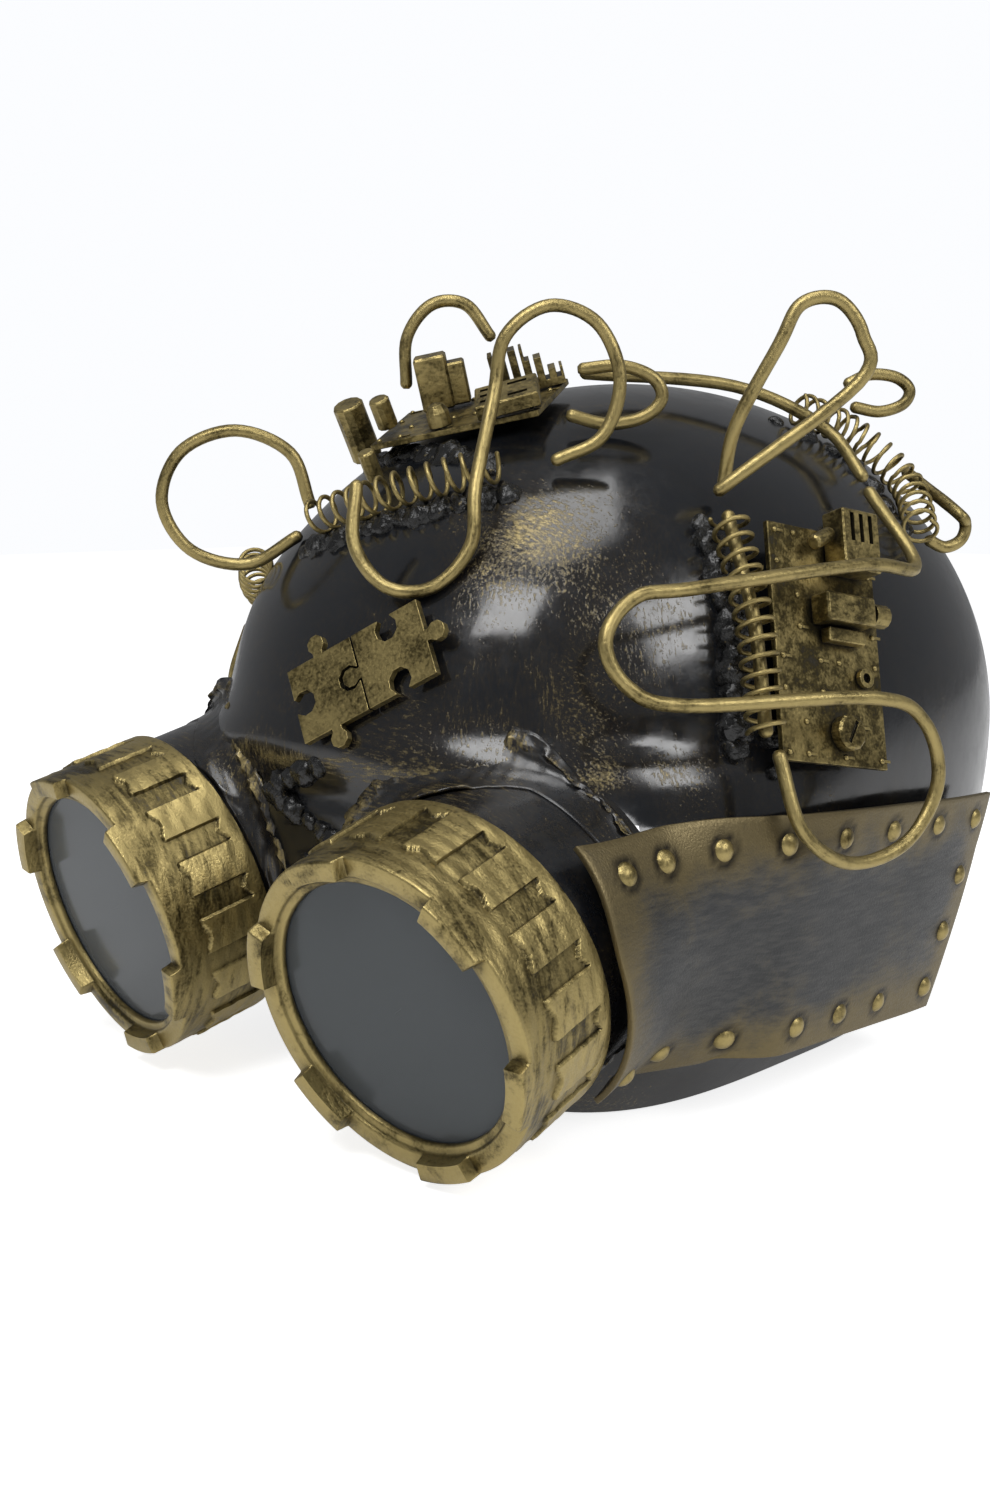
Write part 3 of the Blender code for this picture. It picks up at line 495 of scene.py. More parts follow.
def gunmetal(name):
    """Brushed dark grey paint, dusted with brown gold towards the sheet's edges and rivets; a thin
    dark ring round each rivet's foot is partly painted shadow and partly built-up paint.
    """
    material, tree, shader = fresh_material(name)
    plain = object_coords(tree)
    patch = noise_of(tree, plain, 42.0, 6.0, 0.62, 0.5)
    brushed = noise_of(tree, object_coords(tree, (900, 120, 900), (0.15, 0.0, 0.05)), 1.0, 4.0)
    grain = noise_of(tree, plain, 1900.0, 2.0)
    level = maths(tree, "ADD", maths(tree, "MULTIPLY", field_of(tree, "edge"), 0.48),
                  maths(tree, "MULTIPLY", patch, 0.95))
    level = maths(tree, "ADD", level, maths(tree, "MULTIPLY", brushed, 0.30))
    level = maths(tree, "ADD", level, maths(tree, "MULTIPLY", grain, 0.25))
    dust = remap(tree, level, 0.78, 1.40)
    steel = mix_colour(tree, remap(tree, brushed, 0.3, 0.7), (0.034, 0.035, 0.036),
                       (0.056, 0.056, 0.055))
    colour = mix_colour(tree, dust, steel, (0.160, 0.126, 0.062))
    # Dark ring round each rivet's foot: partly painted contact shadow, partly paint built up against
    # the head.
    rivet_shadow_and_buildup = maths(tree, "MULTIPLY", field_of(tree, "rivet_shadow_and_buildup"), 0.9, clamp=True)
    colour = mix_colour(tree, rivet_shadow_and_buildup, colour, (0.012, 0.010, 0.008))
    plug(tree, colour, shader.inputs["Base Color"])
    plug(tree, remap(tree, dust, 0.0, 1.0, 0.55, 0.80), shader.inputs["Metallic"])
    plug(tree, remap(tree, grain, 0.2, 0.8, 0.34, 0.52), shader.inputs["Roughness"])
    bumped(tree, shader, maths(tree, "ADD", maths(tree, "MULTIPLY", brushed, 0.5), grain), 0.00010)
    return material


def smoked_lens(name):
    """Tinted window with a satin haze and fine scratches."""
    material, tree, shader = fresh_material(name)
    scratch_lines = noise_of(tree, object_coords(tree, (60, 60, 2600), (0.7, 0.4, 0.9)), 1.0, 2.0)
    marks = remap(tree, scratch_lines, 0.76, 0.84)
    haze = mix_colour(tree, marks, (0.150, 0.162, 0.170), (0.42, 0.43, 0.42))
    plug(tree, haze, shader.inputs["Base Color"])
    shader.inputs["Roughness"].default_value = 0.16
    shader.inputs["IOR"].default_value = 1.5
    clear = add_node(tree, "BsdfTransparent", {"Color": (0.66, 0.69, 0.71, 1.0)})
    facing = add_node(tree, "Fresnel", {"IOR": 1.5}).outputs[0]
    share = maths(tree, "ADD", maths(tree, "MULTIPLY", facing, 1.5), 0.30)
    share = maths(tree, "ADD", share, maths(tree, "MULTIPLY", marks, 0.25), clamp=True)
    blend = add_node(tree, "MixShader", {0: share, 1: clear.outputs[0], 2: shader.outputs[0]})
    tree.links.new(blend.outputs[0], tree.nodes["Material Output"].inputs["Surface"])
    return material


def plain_rubber(name):
    material, tree, shader = fresh_material(name)
    grain = noise_of(tree, object_coords(tree), 900.0, 3.0)
    plug(tree, ramp(tree, grain, [(0.3, (0.008, 0.008, 0.008)), (0.8, (0.03, 0.03, 0.028))]),
         shader.inputs["Base Color"])
    plug(tree, remap(tree, grain, 0.2, 0.8, 0.45, 0.7), shader.inputs["Roughness"])
    bumped(tree, shader, grain, 0.0001)
    return material


def black_glue(name):
    """Hot glue painted glossy black, with gold caught on its ridges."""
    material, tree, shader = fresh_material(name)
    plain = object_coords(tree)
    grain = noise_of(tree, plain, 1100.0, 3.0)
    flecks = remap(tree, maths(tree, "ADD", maths(tree, "MULTIPLY", grain, 0.6),
                               maths(tree, "MULTIPLY", noise_of(tree, plain, 220.0, 4.0), 0.6)),
                   0.72, 0.84)
    plug(tree, mix_colour(tree, flecks, (0.006, 0.006, 0.006), (0.22, 0.17, 0.075)),
         shader.inputs["Base Color"])
    plug(tree, maths(tree, "MULTIPLY", flecks, 0.85), shader.inputs["Metallic"])
    plug(tree, remap(tree, grain, 0.2, 0.8, 0.12, 0.34), shader.inputs["Roughness"])
    bumped(tree, shader, grain, 0.0003)
    return material


MATERIALS = {}


def make_materials():
    MATERIALS["shell"] = gilded_black("shell_paint", field="gilding")
    MATERIALS["collar"] = gilded_black("collar_paint", field="gilding", amount=0.25,
                                       rough=(0.20, 0.38))
    MATERIALS["cap"] = antique_brass("cap_brass", 0.34, (120, 700, 120), field="raised",
                                     contrast=1.3, recess_mm=4.0)
    MATERIALS["wire"] = antique_brass("wire_brass", 0.40, run=True, contrast=1.2)
    MATERIALS["coil"] = antique_brass("coil_brass", 0.46, run=True, contrast=1.2, recess_mm=1.5)
    MATERIALS["rivet"] = antique_brass("rivet_brass", 0.52, (500, 500, 500), recess_mm=2.0)
    MATERIALS["casting"] = antique_brass("component_brass", 0.36, (500, 500, 900), recess_mm=2.5)
    MATERIALS["jigsaw"] = antique_brass("jigsaw_brass", 0.40, (900, 160, 900), (0.3, 0.5, 0.2),
                                        recess_mm=1.5)
    MATERIALS["board"] = antique_brass("board_paint", 0.22, (400, 400, 400), contrast=1.2)
    MATERIALS["plate"] = gunmetal("plate_paint")
    MATERIALS["lens"] = smoked_lens("lens_smoke")
    MATERIALS["seal"] = plain_rubber("seal_rubber")
    MATERIALS["glue"] = black_glue("glue_black")


# ---------------------------------------------------------------- head shell


def shell_relief(points):
    """How far the moulded skin stands off its smooth form: brow ledge, temples and dents."""
    x, y, z = points[:, 0], points[:, 1], points[:, 2]
    facing = smoothstep((95.0 - y) / 45.0)
    ledge_z = 84.0 - 0.0008 * (np.abs(x) - 20.0) ** 2
    relief = facing * 1.6 * bump(z - ledge_z - 5.0, 7.0)
    relief -= facing * 1.8 * bump(z - ledge_z + 6.0, 5.0)
    for sign in (-1.0, 1.0):
        across = sign * x
        relief -= 1.6 * bump(np.hypot(across - 84, (y - 100) * 0.8), 22) * bump(z - 105, 30)
        relief += 1.2 * bump(across - 50, 16) * bump(z - 122, 16) * facing
    return relief


GILDED_SPOTS = [
    # Middle of each rubbed spot, its radius and how much gold it holds.
    ((46, 55, 148), 20, 0.42), ((38, 52, 132), 22, 0.48), ((66, 72, 126), 18, 0.38),
    ((60, 60, 104), 16, 0.25), ((52, 44, 92), 18, 0.38), ((80, 66, 84), 14, 0.42),
    ((24, 34, 92), 22, 0.30), ((-10, 28, 96), 22, 0.28), ((74, 68, 112), 10, 0.35),
    ((30, 110, 178), 26, 0.30), ((84, 110, 80), 20, 0.25), ((-50, 60, 140), 30, 0.35),
    ((-70, 110, 150), 34, 0.30), ((-84, 150, 100), 34, 0.28), ((86, 190, 110), 30, 0.24),
    ((0, 240, 140), 40, 0.30), ((50, 225, 90), 30, 0.25), ((-50, 225, 90), 30, 0.28),
    ((0, 160, 178), 34, 0.26), ((60, 60, 8), 26, 0.40), ((70, 130, 6), 26, 0.32),
]


def shell_gilding(points):
    gold = np.zeros(len(points))
    for centre, radius, amount in GILDED_SPOTS:
        distance = np.linalg.norm(points - np.array(centre, float), axis=1)
        gold += amount * bump(distance, radius)
    ledge = smoothstep((80.0 - points[:, 1]) / 40.0) * bump(points[:, 2] - 85.0, 3.0)
    return 0.95 * gold + 0.45 * ledge


def shell_grid(columns, rows, inset):
    """Points of the skin from its lower edge up to the crown."""
    angle_deg = -90.0 + 360.0 * np.arange(columns) / columns
    edge = bottom_edge(angle_deg)
    reach = np.where(edge > WIDEST_Z, CROWN_RISE, CHEEK_DROP)
    lowest = np.arcsin((edge - WIDEST_Z) / reach)
    share = np.linspace(0.0, 1.0, rows) * 0.9985
    latitude = lerp(lowest[None, :], math.pi / 2, share[:, None])
    z = WIDEST_Z + np.where(latitude > 0, CROWN_RISE, CHEEK_DROP) * np.sin(latitude)
    angle = np.radians(np.broadcast_to(angle_deg, z.shape))
    power = plan_exponent(np.sin(angle) < 0, z)
    scale = np.cos(latitude)
    across = (np.abs(np.cos(angle)) / HALF_WIDTH) ** power
    along = (np.abs(np.sin(angle)) / HALF_LENGTH) ** power
    radius = scale * (across + along) ** (-1.0 / power)
    points = np.stack([radius * np.cos(angle), CENTRE_Y + radius * np.sin(angle), z], -1)
    normal = np.cross(np.roll(points, -1, 1) - np.roll(points, 1, 1), np.gradient(points, axis=0))
    normal /= np.maximum(np.linalg.norm(normal, axis=2, keepdims=True), 1e-9)
    relief = shell_relief(points.reshape(-1, 3)).reshape(z.shape)
    return points + normal * (relief - inset)[..., None]


def clear_of_barrels(points):
    """True for points outside both goggle tubes."""
    keep = np.ones(len(points), bool)
    for side in ("left", "right"):
        back = barrel_place(side).inverted()
        local = placed(points, back)
        inside = np.hypot(local[:, 0], local[:, 1]) < HOLE_RADIUS + 0.6
        keep &= ~(inside & (local[:, 2] < -8.0) & (local[:, 2] > -TUBE_END - 8.0))
    return keep


def drawn_to_tubes(points):
    """Moves the points inside a goggle tube out to the middle of its wall."""
    for side in ("left", "right"):
        place = barrel_place(side)
        local = placed(points, place.inverted())
        reach = np.maximum(np.hypot(local[:, 0], local[:, 1]), 1e-6)
        inside = (reach < HOLE_RADIUS) & (local[:, 2] < -8.0) & (local[:, 2] > -TUBE_END - 8.0)
        local[inside, :2] *= (HOLE_RADIUS / reach[inside])[:, None]
        points = np.where(inside[:, None], placed(local, place), points)
    return points


def make_shell(columns=300, rows=110):
    outer = shell_grid(columns, rows, 0.0)
    inner = shell_grid(columns, rows, SHELL_WALL)
    points = np.vstack([outer.reshape(-1, 3), inner.reshape(-1, 3)])
    skin = grid_faces(rows, columns, False, True)
    lining = skin[:, ::-1] + rows * columns
    step = np.arange(columns)
    after = (step + 1) % columns
    rim = np.stack([step, step + rows * columns, after + rows * columns, after], -1)
    faces = np.vstack([skin, lining, rim])
    keep = clear_of_barrels(points)
    points = drawn_to_tubes(points)
    faces = [tuple(face) for face in faces[keep[faces].any(axis=1)]]
    top = (rows - 1) * columns
    faces.append(tuple(range(top, top + columns)))
    faces.append(tuple(range(top + rows * columns, top + (rows + 1) * columns))[::-1])
    shell = new_piece("helmet_shell", points, faces, MATERIALS["shell"],
                      fields={"gilding": shell_gilding(points)})
    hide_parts("skull_shell")


# ---------------------------------------------------------------- goggle barrels


def collar_lines(side, steps):
    """For each angle round the tube: where it starts, meets the shell and flares out onto it."""
    place = barrel_place(side)
    sign = 1.0 if side == "left" else -1.0
    lines = []
    for step in range(steps):
        angle = math.tau * step / steps
        radial = place.to_3x3() @ Vector((math.cos(angle), math.sin(angle), 0))
        covered = float(smoothstep((sign * radial.x - 0.15) / 0.4))
        reach = lerp(8.0, 1.2, covered)
        depths = []
        for radius in (TUBE_RADIUS + 0.5, TUBE_RADIUS + 0.5 + reach):
            depth = -29.0
            while depth > -TUBE_END + 4.0:
                spot = place @ Vector((radius * math.cos(angle), radius * math.sin(angle), depth))
                if shell_field(spot) < 0.0:
                    break
                depth -= 0.5
            depths.append(depth)
        lines.append((angle, min(-28.4, depths[0] + 9.0), depths[0], depths[1], reach))
    return lines


def make_collar(side, steps=240, rows=22):
    """Flared skirt between tube and shell, crumpled where it was glued and embossed with ovals."""
    place = barrel_place(side)
    points, gold = [], []
    for angle, start, corner, finish, reach in collar_lines(side, steps):
        for share in np.linspace(0.0, 1.0, rows):
            radius = TUBE_RADIUS + 0.4 + reach * share ** 2
            depth = (lerp(lerp(start, corner, share), lerp(corner, finish, share), share)
                     - 0.8 * smoothstep((share - 0.85) / 0.15))
            around = angle * TUBE_RADIUS
            layer = 3.0 if side == "left" else 9.0
            rough = noise.noise(Vector((around * 0.16, depth * 0.25, layer)))
            fine = noise.noise(Vector((around * 0.55, depth * 0.7, 5.0)))
            pitch = math.tau / 8
            oval = (angle + 0.3) % pitch - pitch / 2
            dome = 1.0 - (oval * TUBE_RADIUS / 10.0) ** 2 - ((depth + 33.5) / 5.5) ** 2
            lift = 0.9 * float(smoothstep(dome * 3.0))
            crumple = (1.5 * abs(rough) + 0.6 * fine) * float(smoothstep((share - 0.45) / 0.4))
            bead = 1.1 * float(bump(share - 0.86, 0.08)) * (0.7 + fine)
            radius += lift * (1.0 - share) + crumple * 0.5
            points.append((radius * math.cos(angle), radius * math.sin(angle),
                           depth + crumple + bead))
            gold.append(0.20 * lift + 0.30 * crumple + 0.35 * max(bead, 0.0))
    faces = grid_faces(steps, rows, True, False)
    collar = new_piece(side + "_collar", placed(points, place), faces, MATERIALS["collar"],
                       fields={"gilding": gold})
    wall = collar.modifiers.new("Wall", "SOLIDIFY")
    wall.thickness = 0.6 * MM
    wall.offset = -1.0


def make_tube(side):
    bore, neck_bore = TUBE_RADIUS - 2.3, LIP_BORE + 0.3
    shoulder = -(CAP_DEPTH + 1.0)
    profile = [(neck_bore, -6.6), (TUBE_NECK - 0.3, -6.6), (TUBE_NECK, -6.9),
               (TUBE_NECK, shoulder),
               (TUBE_RADIUS - 0.5, shoulder), (TUBE_RADIUS, shoulder - 0.5),
               (TUBE_RADIUS, -TUBE_END), (bore, -TUBE_END), (bore, shoulder - 2.0),
               (neck_bore, shoulder - 2.0)]
    points, faces = closed_turn(profile, 120)
    tube = new_piece(side + "_goggle_tube", placed(points, barrel_place(side)), faces,
                     MATERIALS["collar"], fields={"gilding": np.zeros(len(points))})
    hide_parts(side + "_barrel_tube")


def tab_rise(angle_deg, side):
    """Height of the lip's six tabs at an angle round the ring."""
    pitch = 360.0 / TAB_COUNT
    away = np.abs((angle_deg - TAB_START_DEG[side] + pitch / 2) % pitch - pitch / 2)
    return TAB_RISE * smoothstep((TAB_ARC_DEG / 2 - away) / 1.2)


def banner_rise(angle_deg, height, side):
    """Raised tongues that run forwards from the ring's rear band, with swallow-tailed ends."""
    pitch = 360.0 / BANNER_COUNT
    away_deg = (angle_deg - BANNER_START_DEG[side] + pitch / 2) % pitch - pitch / 2
    from_slot = np.abs(np.radians(away_deg)) * CAP_RADIUS
    half_pitch = math.radians(pitch / 2) * CAP_RADIUS
    from_tongue = half_pitch - from_slot
    slot_end = SLOT_REAR + 2.0 * np.clip(1.0 - from_slot / SLOT_HALF_WIDTH, 0.0, 1.0)
    tongue_end = TONGUE_FRONT - 1.4 * bump(from_tongue, 2.4)
    edge = 0.28
    beside_slot = smoothstep((from_slot - SLOT_HALF_WIDTH) / edge + 0.5)
    behind_slot = smoothstep((slot_end - height) / edge + 0.5)
    behind_front = smoothstep((tongue_end - height) / edge + 0.5)
    return np.maximum(behind_slot, beside_slot * behind_front)


def make_cap_ring(side, steps=960):
    angle_deg = 360.0 * np.arange(steps) / steps
    rise = tab_rise(angle_deg, side)
    wall = np.linspace(-CAP_DEPTH + 0.5, -1.6, 62)
    loops, raised = [], []

    def loop(radius, height, lift=0.0):
        angle = np.radians(angle_deg)
        radius = np.broadcast_to(radius, angle.shape)
        loops.append(np.stack([radius * np.cos(angle), radius * np.sin(angle),
                               np.broadcast_to(height, angle.shape)], -1))
        raised.append(np.broadcast_to(lift, angle.shape))

    loop(CAP_BORE, -CAP_DEPTH)
    loop(CAP_RADIUS + BANNER_RISE - 0.5, -CAP_DEPTH, 0.4)
    loop(CAP_RADIUS + BANNER_RISE - 0.1, -CAP_DEPTH + 0.2, 0.8)
    for height in wall:
        step_up = banner_rise(angle_deg, height, side)
        wobble = 0.06 * np.sin(np.radians(angle_deg) * 23 + height) + 0.05 * np.sin(height * 1.7)
        loop(CAP_RADIUS + BANNER_RISE * step_up + wobble, height, 0.25 + 0.75 * step_up)
    for share in (0.25, 0.5, 0.75, 1.0):
        loop(CAP_RADIUS, lerp(-1.6, rise - 0.6, share), 0.45)
    for radius, drop, lift in ((CAP_RADIUS - 0.2, 0.18, 0.9), (CAP_RADIUS - 0.6, 0.0, 1.0),
                               (35.6, 0.0, 0.6), (33.9, 0.0, 0.6), (33.5, 0.15, 0.7)):
        loop(radius, rise - drop, lift)
    for radius, height, lift in ((33.15, -0.5, 0.2), (33.0, -0.9, 0.1), (32.6, -1.1, 0.5),
                                 (31.7, -1.3, 0.6), (31.3, -1.6, 0.5), (LIP_BORE, -2.6, 0.1),
                                 (CAP_BORE, -2.6, 0.0)):
        loop(radius, height, lift)
    points = np.vstack(loops)
    faces = grid_faces(len(loops), steps, True, True)[:, ::-1]
    ring = new_piece(side + "_screw_ring", placed(points, barrel_place(side)), faces,
                     MATERIALS["cap"], body=side + "_cap_ring", sharp_deg=50.0,
                     fields={"raised": np.concatenate(raised)})
    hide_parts(side + "_cap_ring")


def make_lens(side):
    place = barrel_place(side)
    profile = [(0.05, -3.0), (LENS_RADIUS - 0.4, -3.0), (LENS_RADIUS, -3.4), (LENS_RADIUS, -4.6),
               (LENS_RADIUS - 0.4, -5.0), (0.05, -5.0)]
    points, faces = closed_turn(profile, 96)
    lens = new_piece(side + "_window", placed(points, place), faces, MATERIALS["lens"],
                     body=side + "_lens_stack")
    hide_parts(side + "_lens")
    profile = [(LIP_BORE + 0.4, -5.35), (LENS_RADIUS - 0.2, -5.35), (LENS_RADIUS, -5.5),
               (LENS_RADIUS, -6.1), (LENS_RADIUS - 0.2, -6.2), (LIP_BORE + 0.4, -6.2)]
    points, faces = closed_turn(profile, 96)
    seal = new_piece(side + "_window_seal", placed(points, place), faces, MATERIALS["seal"],
                     body=side + "_lens_stack")
    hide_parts(side + "_lens_seal")


# ---------------------------------------------------------------- cheek plates


def plate_edges(along):
    """Lowest and highest z of the cheek plate, from its front edge (0) to its rear edge (1)."""
    belly = math.sin(math.pi * along)
    shoulder = 3.5 * float(smoothstep(along / 0.3))
    return 17.5 + 1.5 * belly - 4.5 * along, 74.0 + shoulder + 1.5 * belly - 9.0 * along


def plate_front(z):
    """y of the plate's front edge, which stays just behind the tilted cap ring."""
    place = barrel_place("left")
    backwards = -place.col[2].xyz
    beside = backwards.x * (CAP_RADIUS - 4.0)
    drop = z - place.translation.z
    behind_cap = (CAP_DEPTH + 2.0 - beside - backwards.z * drop) / backwards.y
    return behind_cap + 4.0 * float(smoothstep((z - 50.0) / 24.0))


def barrel_bend(y, z):
    """x of a sheet wrapped round the left barrel at the bend radius."""
    place = barrel_place("left")
    axis = place.col[2].xyz
    drop = z - place.translation.z
    shift = y * axis.y + drop * axis.z
    lean = 1.0 - axis.x ** 2
    beyond = y ** 2 + drop ** 2 - shift ** 2 - PLATE_BEND_RADIUS ** 2
    root = (axis.x * shift) ** 2 - lean * beyond
    return place.translation.x + (axis.x * shift + math.sqrt(max(0.0, root))) / lean


def plate_point(along, up):
    """Point of the left plate's inner face; along and up run from 0 to 1."""
    low, high = plate_edges(along)
    z = lerp(low, high, up)
    y = lerp(plate_front(z), lerp(160.0, 180.0, up), along)
    beside = side_at(max(y, 45.0), z).x
    widest = side_at(max(y, 45.0), 55.0).x
    hanging = max(beside, lerp(beside, widest, 0.6)) + PLATE_STANDOFF
    wrap = 1.0 - float(smoothstep((y - 48.0) / 45.0))
    near, bent = beside + PLATE_STANDOFF - 1.0, lerp(hanging, barrel_bend(y, z), wrap)
    x = (near + bent + math.sqrt((near - bent) ** 2 + 4.0)) / 2
    return Vector((x, y, z))


def plate_outward(along, up):
    step = 0.02
    ahead = plate_point(min(along + step, 1.0), up) - plate_point(max(along - step, 0.0), up)
    above = plate_point(along, min(up + step, 1.0)) - plate_point(along, max(up - step, 0.0))
    return ahead.cross(above).normalized()


def rivet_places():
    top = [(lerp(0.06, 0.945, (step / 7) ** 1.2), 0.89) for step in range(8)]
    rear = [(0.945, up) for up in (0.63, 0.37, 0.11)]
    bottom = [(lerp(0.045, 0.75, step / 5), 0.11) for step in range(6)]
    return {"top": top, "rear": rear, "bottom": bottom}


def to_side(points, side):
    """Left-hand points as they are, or mirrored and raised to the right-hand goggle's level."""
    points = np.asarray(points, float).copy()
    if side == "right":
        points[:, 0] *= -1
        points[:, 2] += (RIGHT_FRONT.z - LEFT_FRONT.z) / MM
    return points


def to_side_faces(faces, side):
    return [tuple(face)[::-1] for face in faces] if side == "right" else faces


def plate_sheet(columns=90, rows=44):
    """Outer face of the left plate as a grid, with how near its edge and rivets each point is, and a
    dark ring round each rivet's foot that is partly painted shadow, partly built-up paint.
    """
    share_along = np.linspace(0.0, 1.0, columns)
    share_up = np.linspace(0.0, 1.0, rows)
    outer = np.array([[list(plate_point(a, u)) for u in share_up] for a in share_along])
    slope_along, slope_up = np.gradient(outer, axis=0), np.gradient(outer, axis=1)
    normal = np.cross(slope_along, slope_up)
    normal /= np.linalg.norm(normal, axis=2, keepdims=True)
    flat = (outer + normal * PLATE_THICKNESS).reshape(-1, 3)
    ripple = np.array([noise.noise(Vector(point) * 0.035) for point in flat])
    normal = normal.reshape(-1, 3)
    flat = flat + normal * (0.5 * ripple)[:, None]
    length = np.linalg.norm(outer[0, rows // 2] - outer[-1, rows // 2])
    along, up = np.meshgrid(share_along, share_up, indexing="ij")
    margin = np.minimum.reduce([along * length, (1 - along) * length, up * 56.0, (1 - up) * 56.0])
    edge = bump(margin.ravel(), 11.0)
    heads = [plate_point(*spot) + plate_outward(*spot) * PLATE_THICKNESS
             for spots in rivet_places().values() for spot in spots]
    nearest = np.min([np.linalg.norm(flat - np.array(head), axis=1) for head in heads], axis=0)
    edge = edge + 0.5 * bump(nearest, 8.0) + 0.55 * bump(margin.ravel(), 0.9)
    # Dark ring round each rivet's foot: partly painted contact shadow, partly paint built up against
    # the head.
    rivet_shadow_and_buildup = 1.1 * bump(nearest - RIVET_RADIUS, 0.9)
    return flat, grid_faces(columns, rows), edge, rivet_shadow_and_buildup


def make_plates():
    flat, faces, edge, rivet_shadow_and_buildup = plate_sheet()
    for side in ("left", "right"):
        plate = new_piece(side + "_plate", to_side(flat, side), to_side_faces(faces, side),
                          MATERIALS["plate"], fields={"edge": edge, "rivet_shadow_and_buildup": rivet_shadow_and_buildup})
        wall = plate.modifiers.new("Wall", "SOLIDIFY")
        wall.thickness = PLATE_THICKNESS * MM
        wall.offset = -1.0
        rounding = plate.modifiers.new("Rounding", "BEVEL")
        rounding.width = 0.35 * MM
        rounding.segments = 2
        rounding.limit_method = "ANGLE"
        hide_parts(side + "_cheek_plate")
        for row, spots in rivet_places().items():
            parts = []
            for spot in spots:
                outward = plate_outward(*spot)
                head = plate_point(*spot) + outward * (PLATE_THICKNESS + 0.1)
                parts.append(dome_part(RIVET_RADIUS, 2.7, frame_at(head, outward), 24, 0.5))
            points, quads = joined(parts)
            rivets = new_piece(f"{side}_{row}_rivets", to_side(points, side),
                               to_side_faces(quads, side), MATERIALS["rivet"])
            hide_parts(f"{side}_{row}_stud_strip")


# ---------------------------------------------------------------- rods and coils


def coil_path(centres, radius, turns, per_turn):
    """Helix round a smooth centre line."""
    line = smooth_path(centres, 12)
    tangent = (line[1] - line[0]).normalized()
    across = tangent.orthogonal().normalized()
    steps = turns * per_turn
    path = []
    for step in range(steps + 1):
        place = step / steps * (len(line) - 1)
        index = min(int(place), len(line) - 2)
        centre = line[index].lerp(line[index + 1], place - index)
        tangent = (line[index + 1] - line[index]).normalized()
        across = (across - tangent * across.dot(tangent)).normalized()
        angle = math.tau * step / per_turn
        path.append(centre + (across * math.cos(angle)
                              + tangent.cross(across) * math.sin(angle)) * radius)
    return path


def rod(name, points, node=None, radius=WIRE_RADIUS, per_span=14, material="wire", sides=16,
        flat=1.0):
    path = smooth_path(points, per_span)
    lumps = [1.0 + 0.05 * noise.noise(Vector(point) * 0.11) for point in path]
    verts, faces, run = swept(path, np.array(lumps) * radius, sides, flat)
    bar = new_piece(name, verts, faces, MATERIALS[material], sharp_deg=70.0,
                    fields={"run": run})
    if node:
        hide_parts(node)
    return bar


def oval_arc(middle, half_sizes, start_deg, end_deg, turn_deg, lean_deg=0.0):
    """Points of an oval arc, one about every 45 degrees.

    The oval faces turn_deg to the wearer's left of straight ahead and leans back by lean_deg.
    Seen from where it faces, 0 degrees is its right end and 90 degrees its top.
    """
    turn, lean = math.radians(turn_deg), math.radians(lean_deg)
    across = Vector((math.cos(turn), math.sin(turn), 0))
    upwards = Vector((-math.sin(turn) * math.sin(lean), math.cos(turn) * math.sin(lean),
                      math.cos(lean)))
    steps = max(2, round(abs(end_deg - start_deg) / 45.0))
    points = []
    for step in range(steps + 1):
        angle = math.radians(lerp(start_deg, end_deg, step / steps))
        points.append(Vector(middle) + across * (half_sizes[0] * math.cos(angle))
                      + upwards * (half_sizes[1] * math.sin(angle)))
    return points


def wire_lines():
    """Centre line of each bent wire: oval arcs, and legs that run to them."""
    return {
        "front_left_loop": oval_arc((-43, 37, 146), (19, 17), -5, 325, 45),
        "back_arch": oval_arc((-16, 87, 181), (12, 16), 200, 25, 45),
        "s_loop": (oval_arc((36, 72, 173), (15, 18), -90, 190, 45, 5)
                   + oval_arc((21, 40, 143), (15, 19), 20, -200, 35, 18)),
        "flat_loop": oval_arc((36, 91, 171), (13, 7), 225, 480, 45),
        "crown_wire": [top_at(x, y, 7.0) for x, y in ((17, 104), (38, 135), (54, 151), (67, 148))],
        "side_wire": ([side_at(142, 142, 1, 9.0), side_at(137, 124, 1, 14.0),
                       side_at(115, 124, 1, 16.0)]
                      + oval_arc((84, 60, 115), (18, 13), 75, 270, 65, 15)
                      + oval_arc((106, 101, 83), (22, 19), 90, -150, 75)
                      + [side_at(85, 86, 1, 10.0)]),
        "top_loop": ([Vector((69, 92, 148))] + oval_arc((84, 110, 179), (10, 13), -30, 170, 45)
                     + [Vector((69, 98, 163)), Vector((65, 99, 149))]),
        "rear_small_loop": oval_arc((57, 178, 174), (9, 5), 150, -130, 45),
        "rear_loop": ([top_at(57, 187, 6.0)] + oval_arc((80, 177, 138), (6, 5), 60, -140, 60)),
        "right_loop": [side_at(76 - 17 * math.cos(angle), 97 + 16 * math.sin(angle), -1, 4.0)
                       for angle in (math.radians(45 * step) for step in range(1, -4, -1))],
    }


def make_wires():
    for node, line in wire_lines().items():
        stem = node.removesuffix("_wire")
        rod(stem + "_bent_wire", line, node, per_span=8)


def spring_lines():
    """Centre line of each coil and its number of turns."""
    lift = COIL_RADIUS + COIL_WIRE + 0.6
    return {
        "front_spring": ([front_at(-18, 137.5, lift), front_at(6, 144, lift),
                          front_at(26, 150, lift)], 12),
        "side_spring": ([side_at(94, 138, 1, 7.0), side_at(88, 116, 1, 8.0),
                         side_at(84, 92, 1, 10.0)], 13),
        "crown_spring": ([top_at(x, y, lift)
                          for x, y in ((43, 156), (49, 173), (63, 177), (75, 165))], 16),
        "right_spring": ([front_at(-47, 126, lift), side_at(68, 118, -1, lift),
                          side_at(92, 108, -1, lift)], 11),
    }


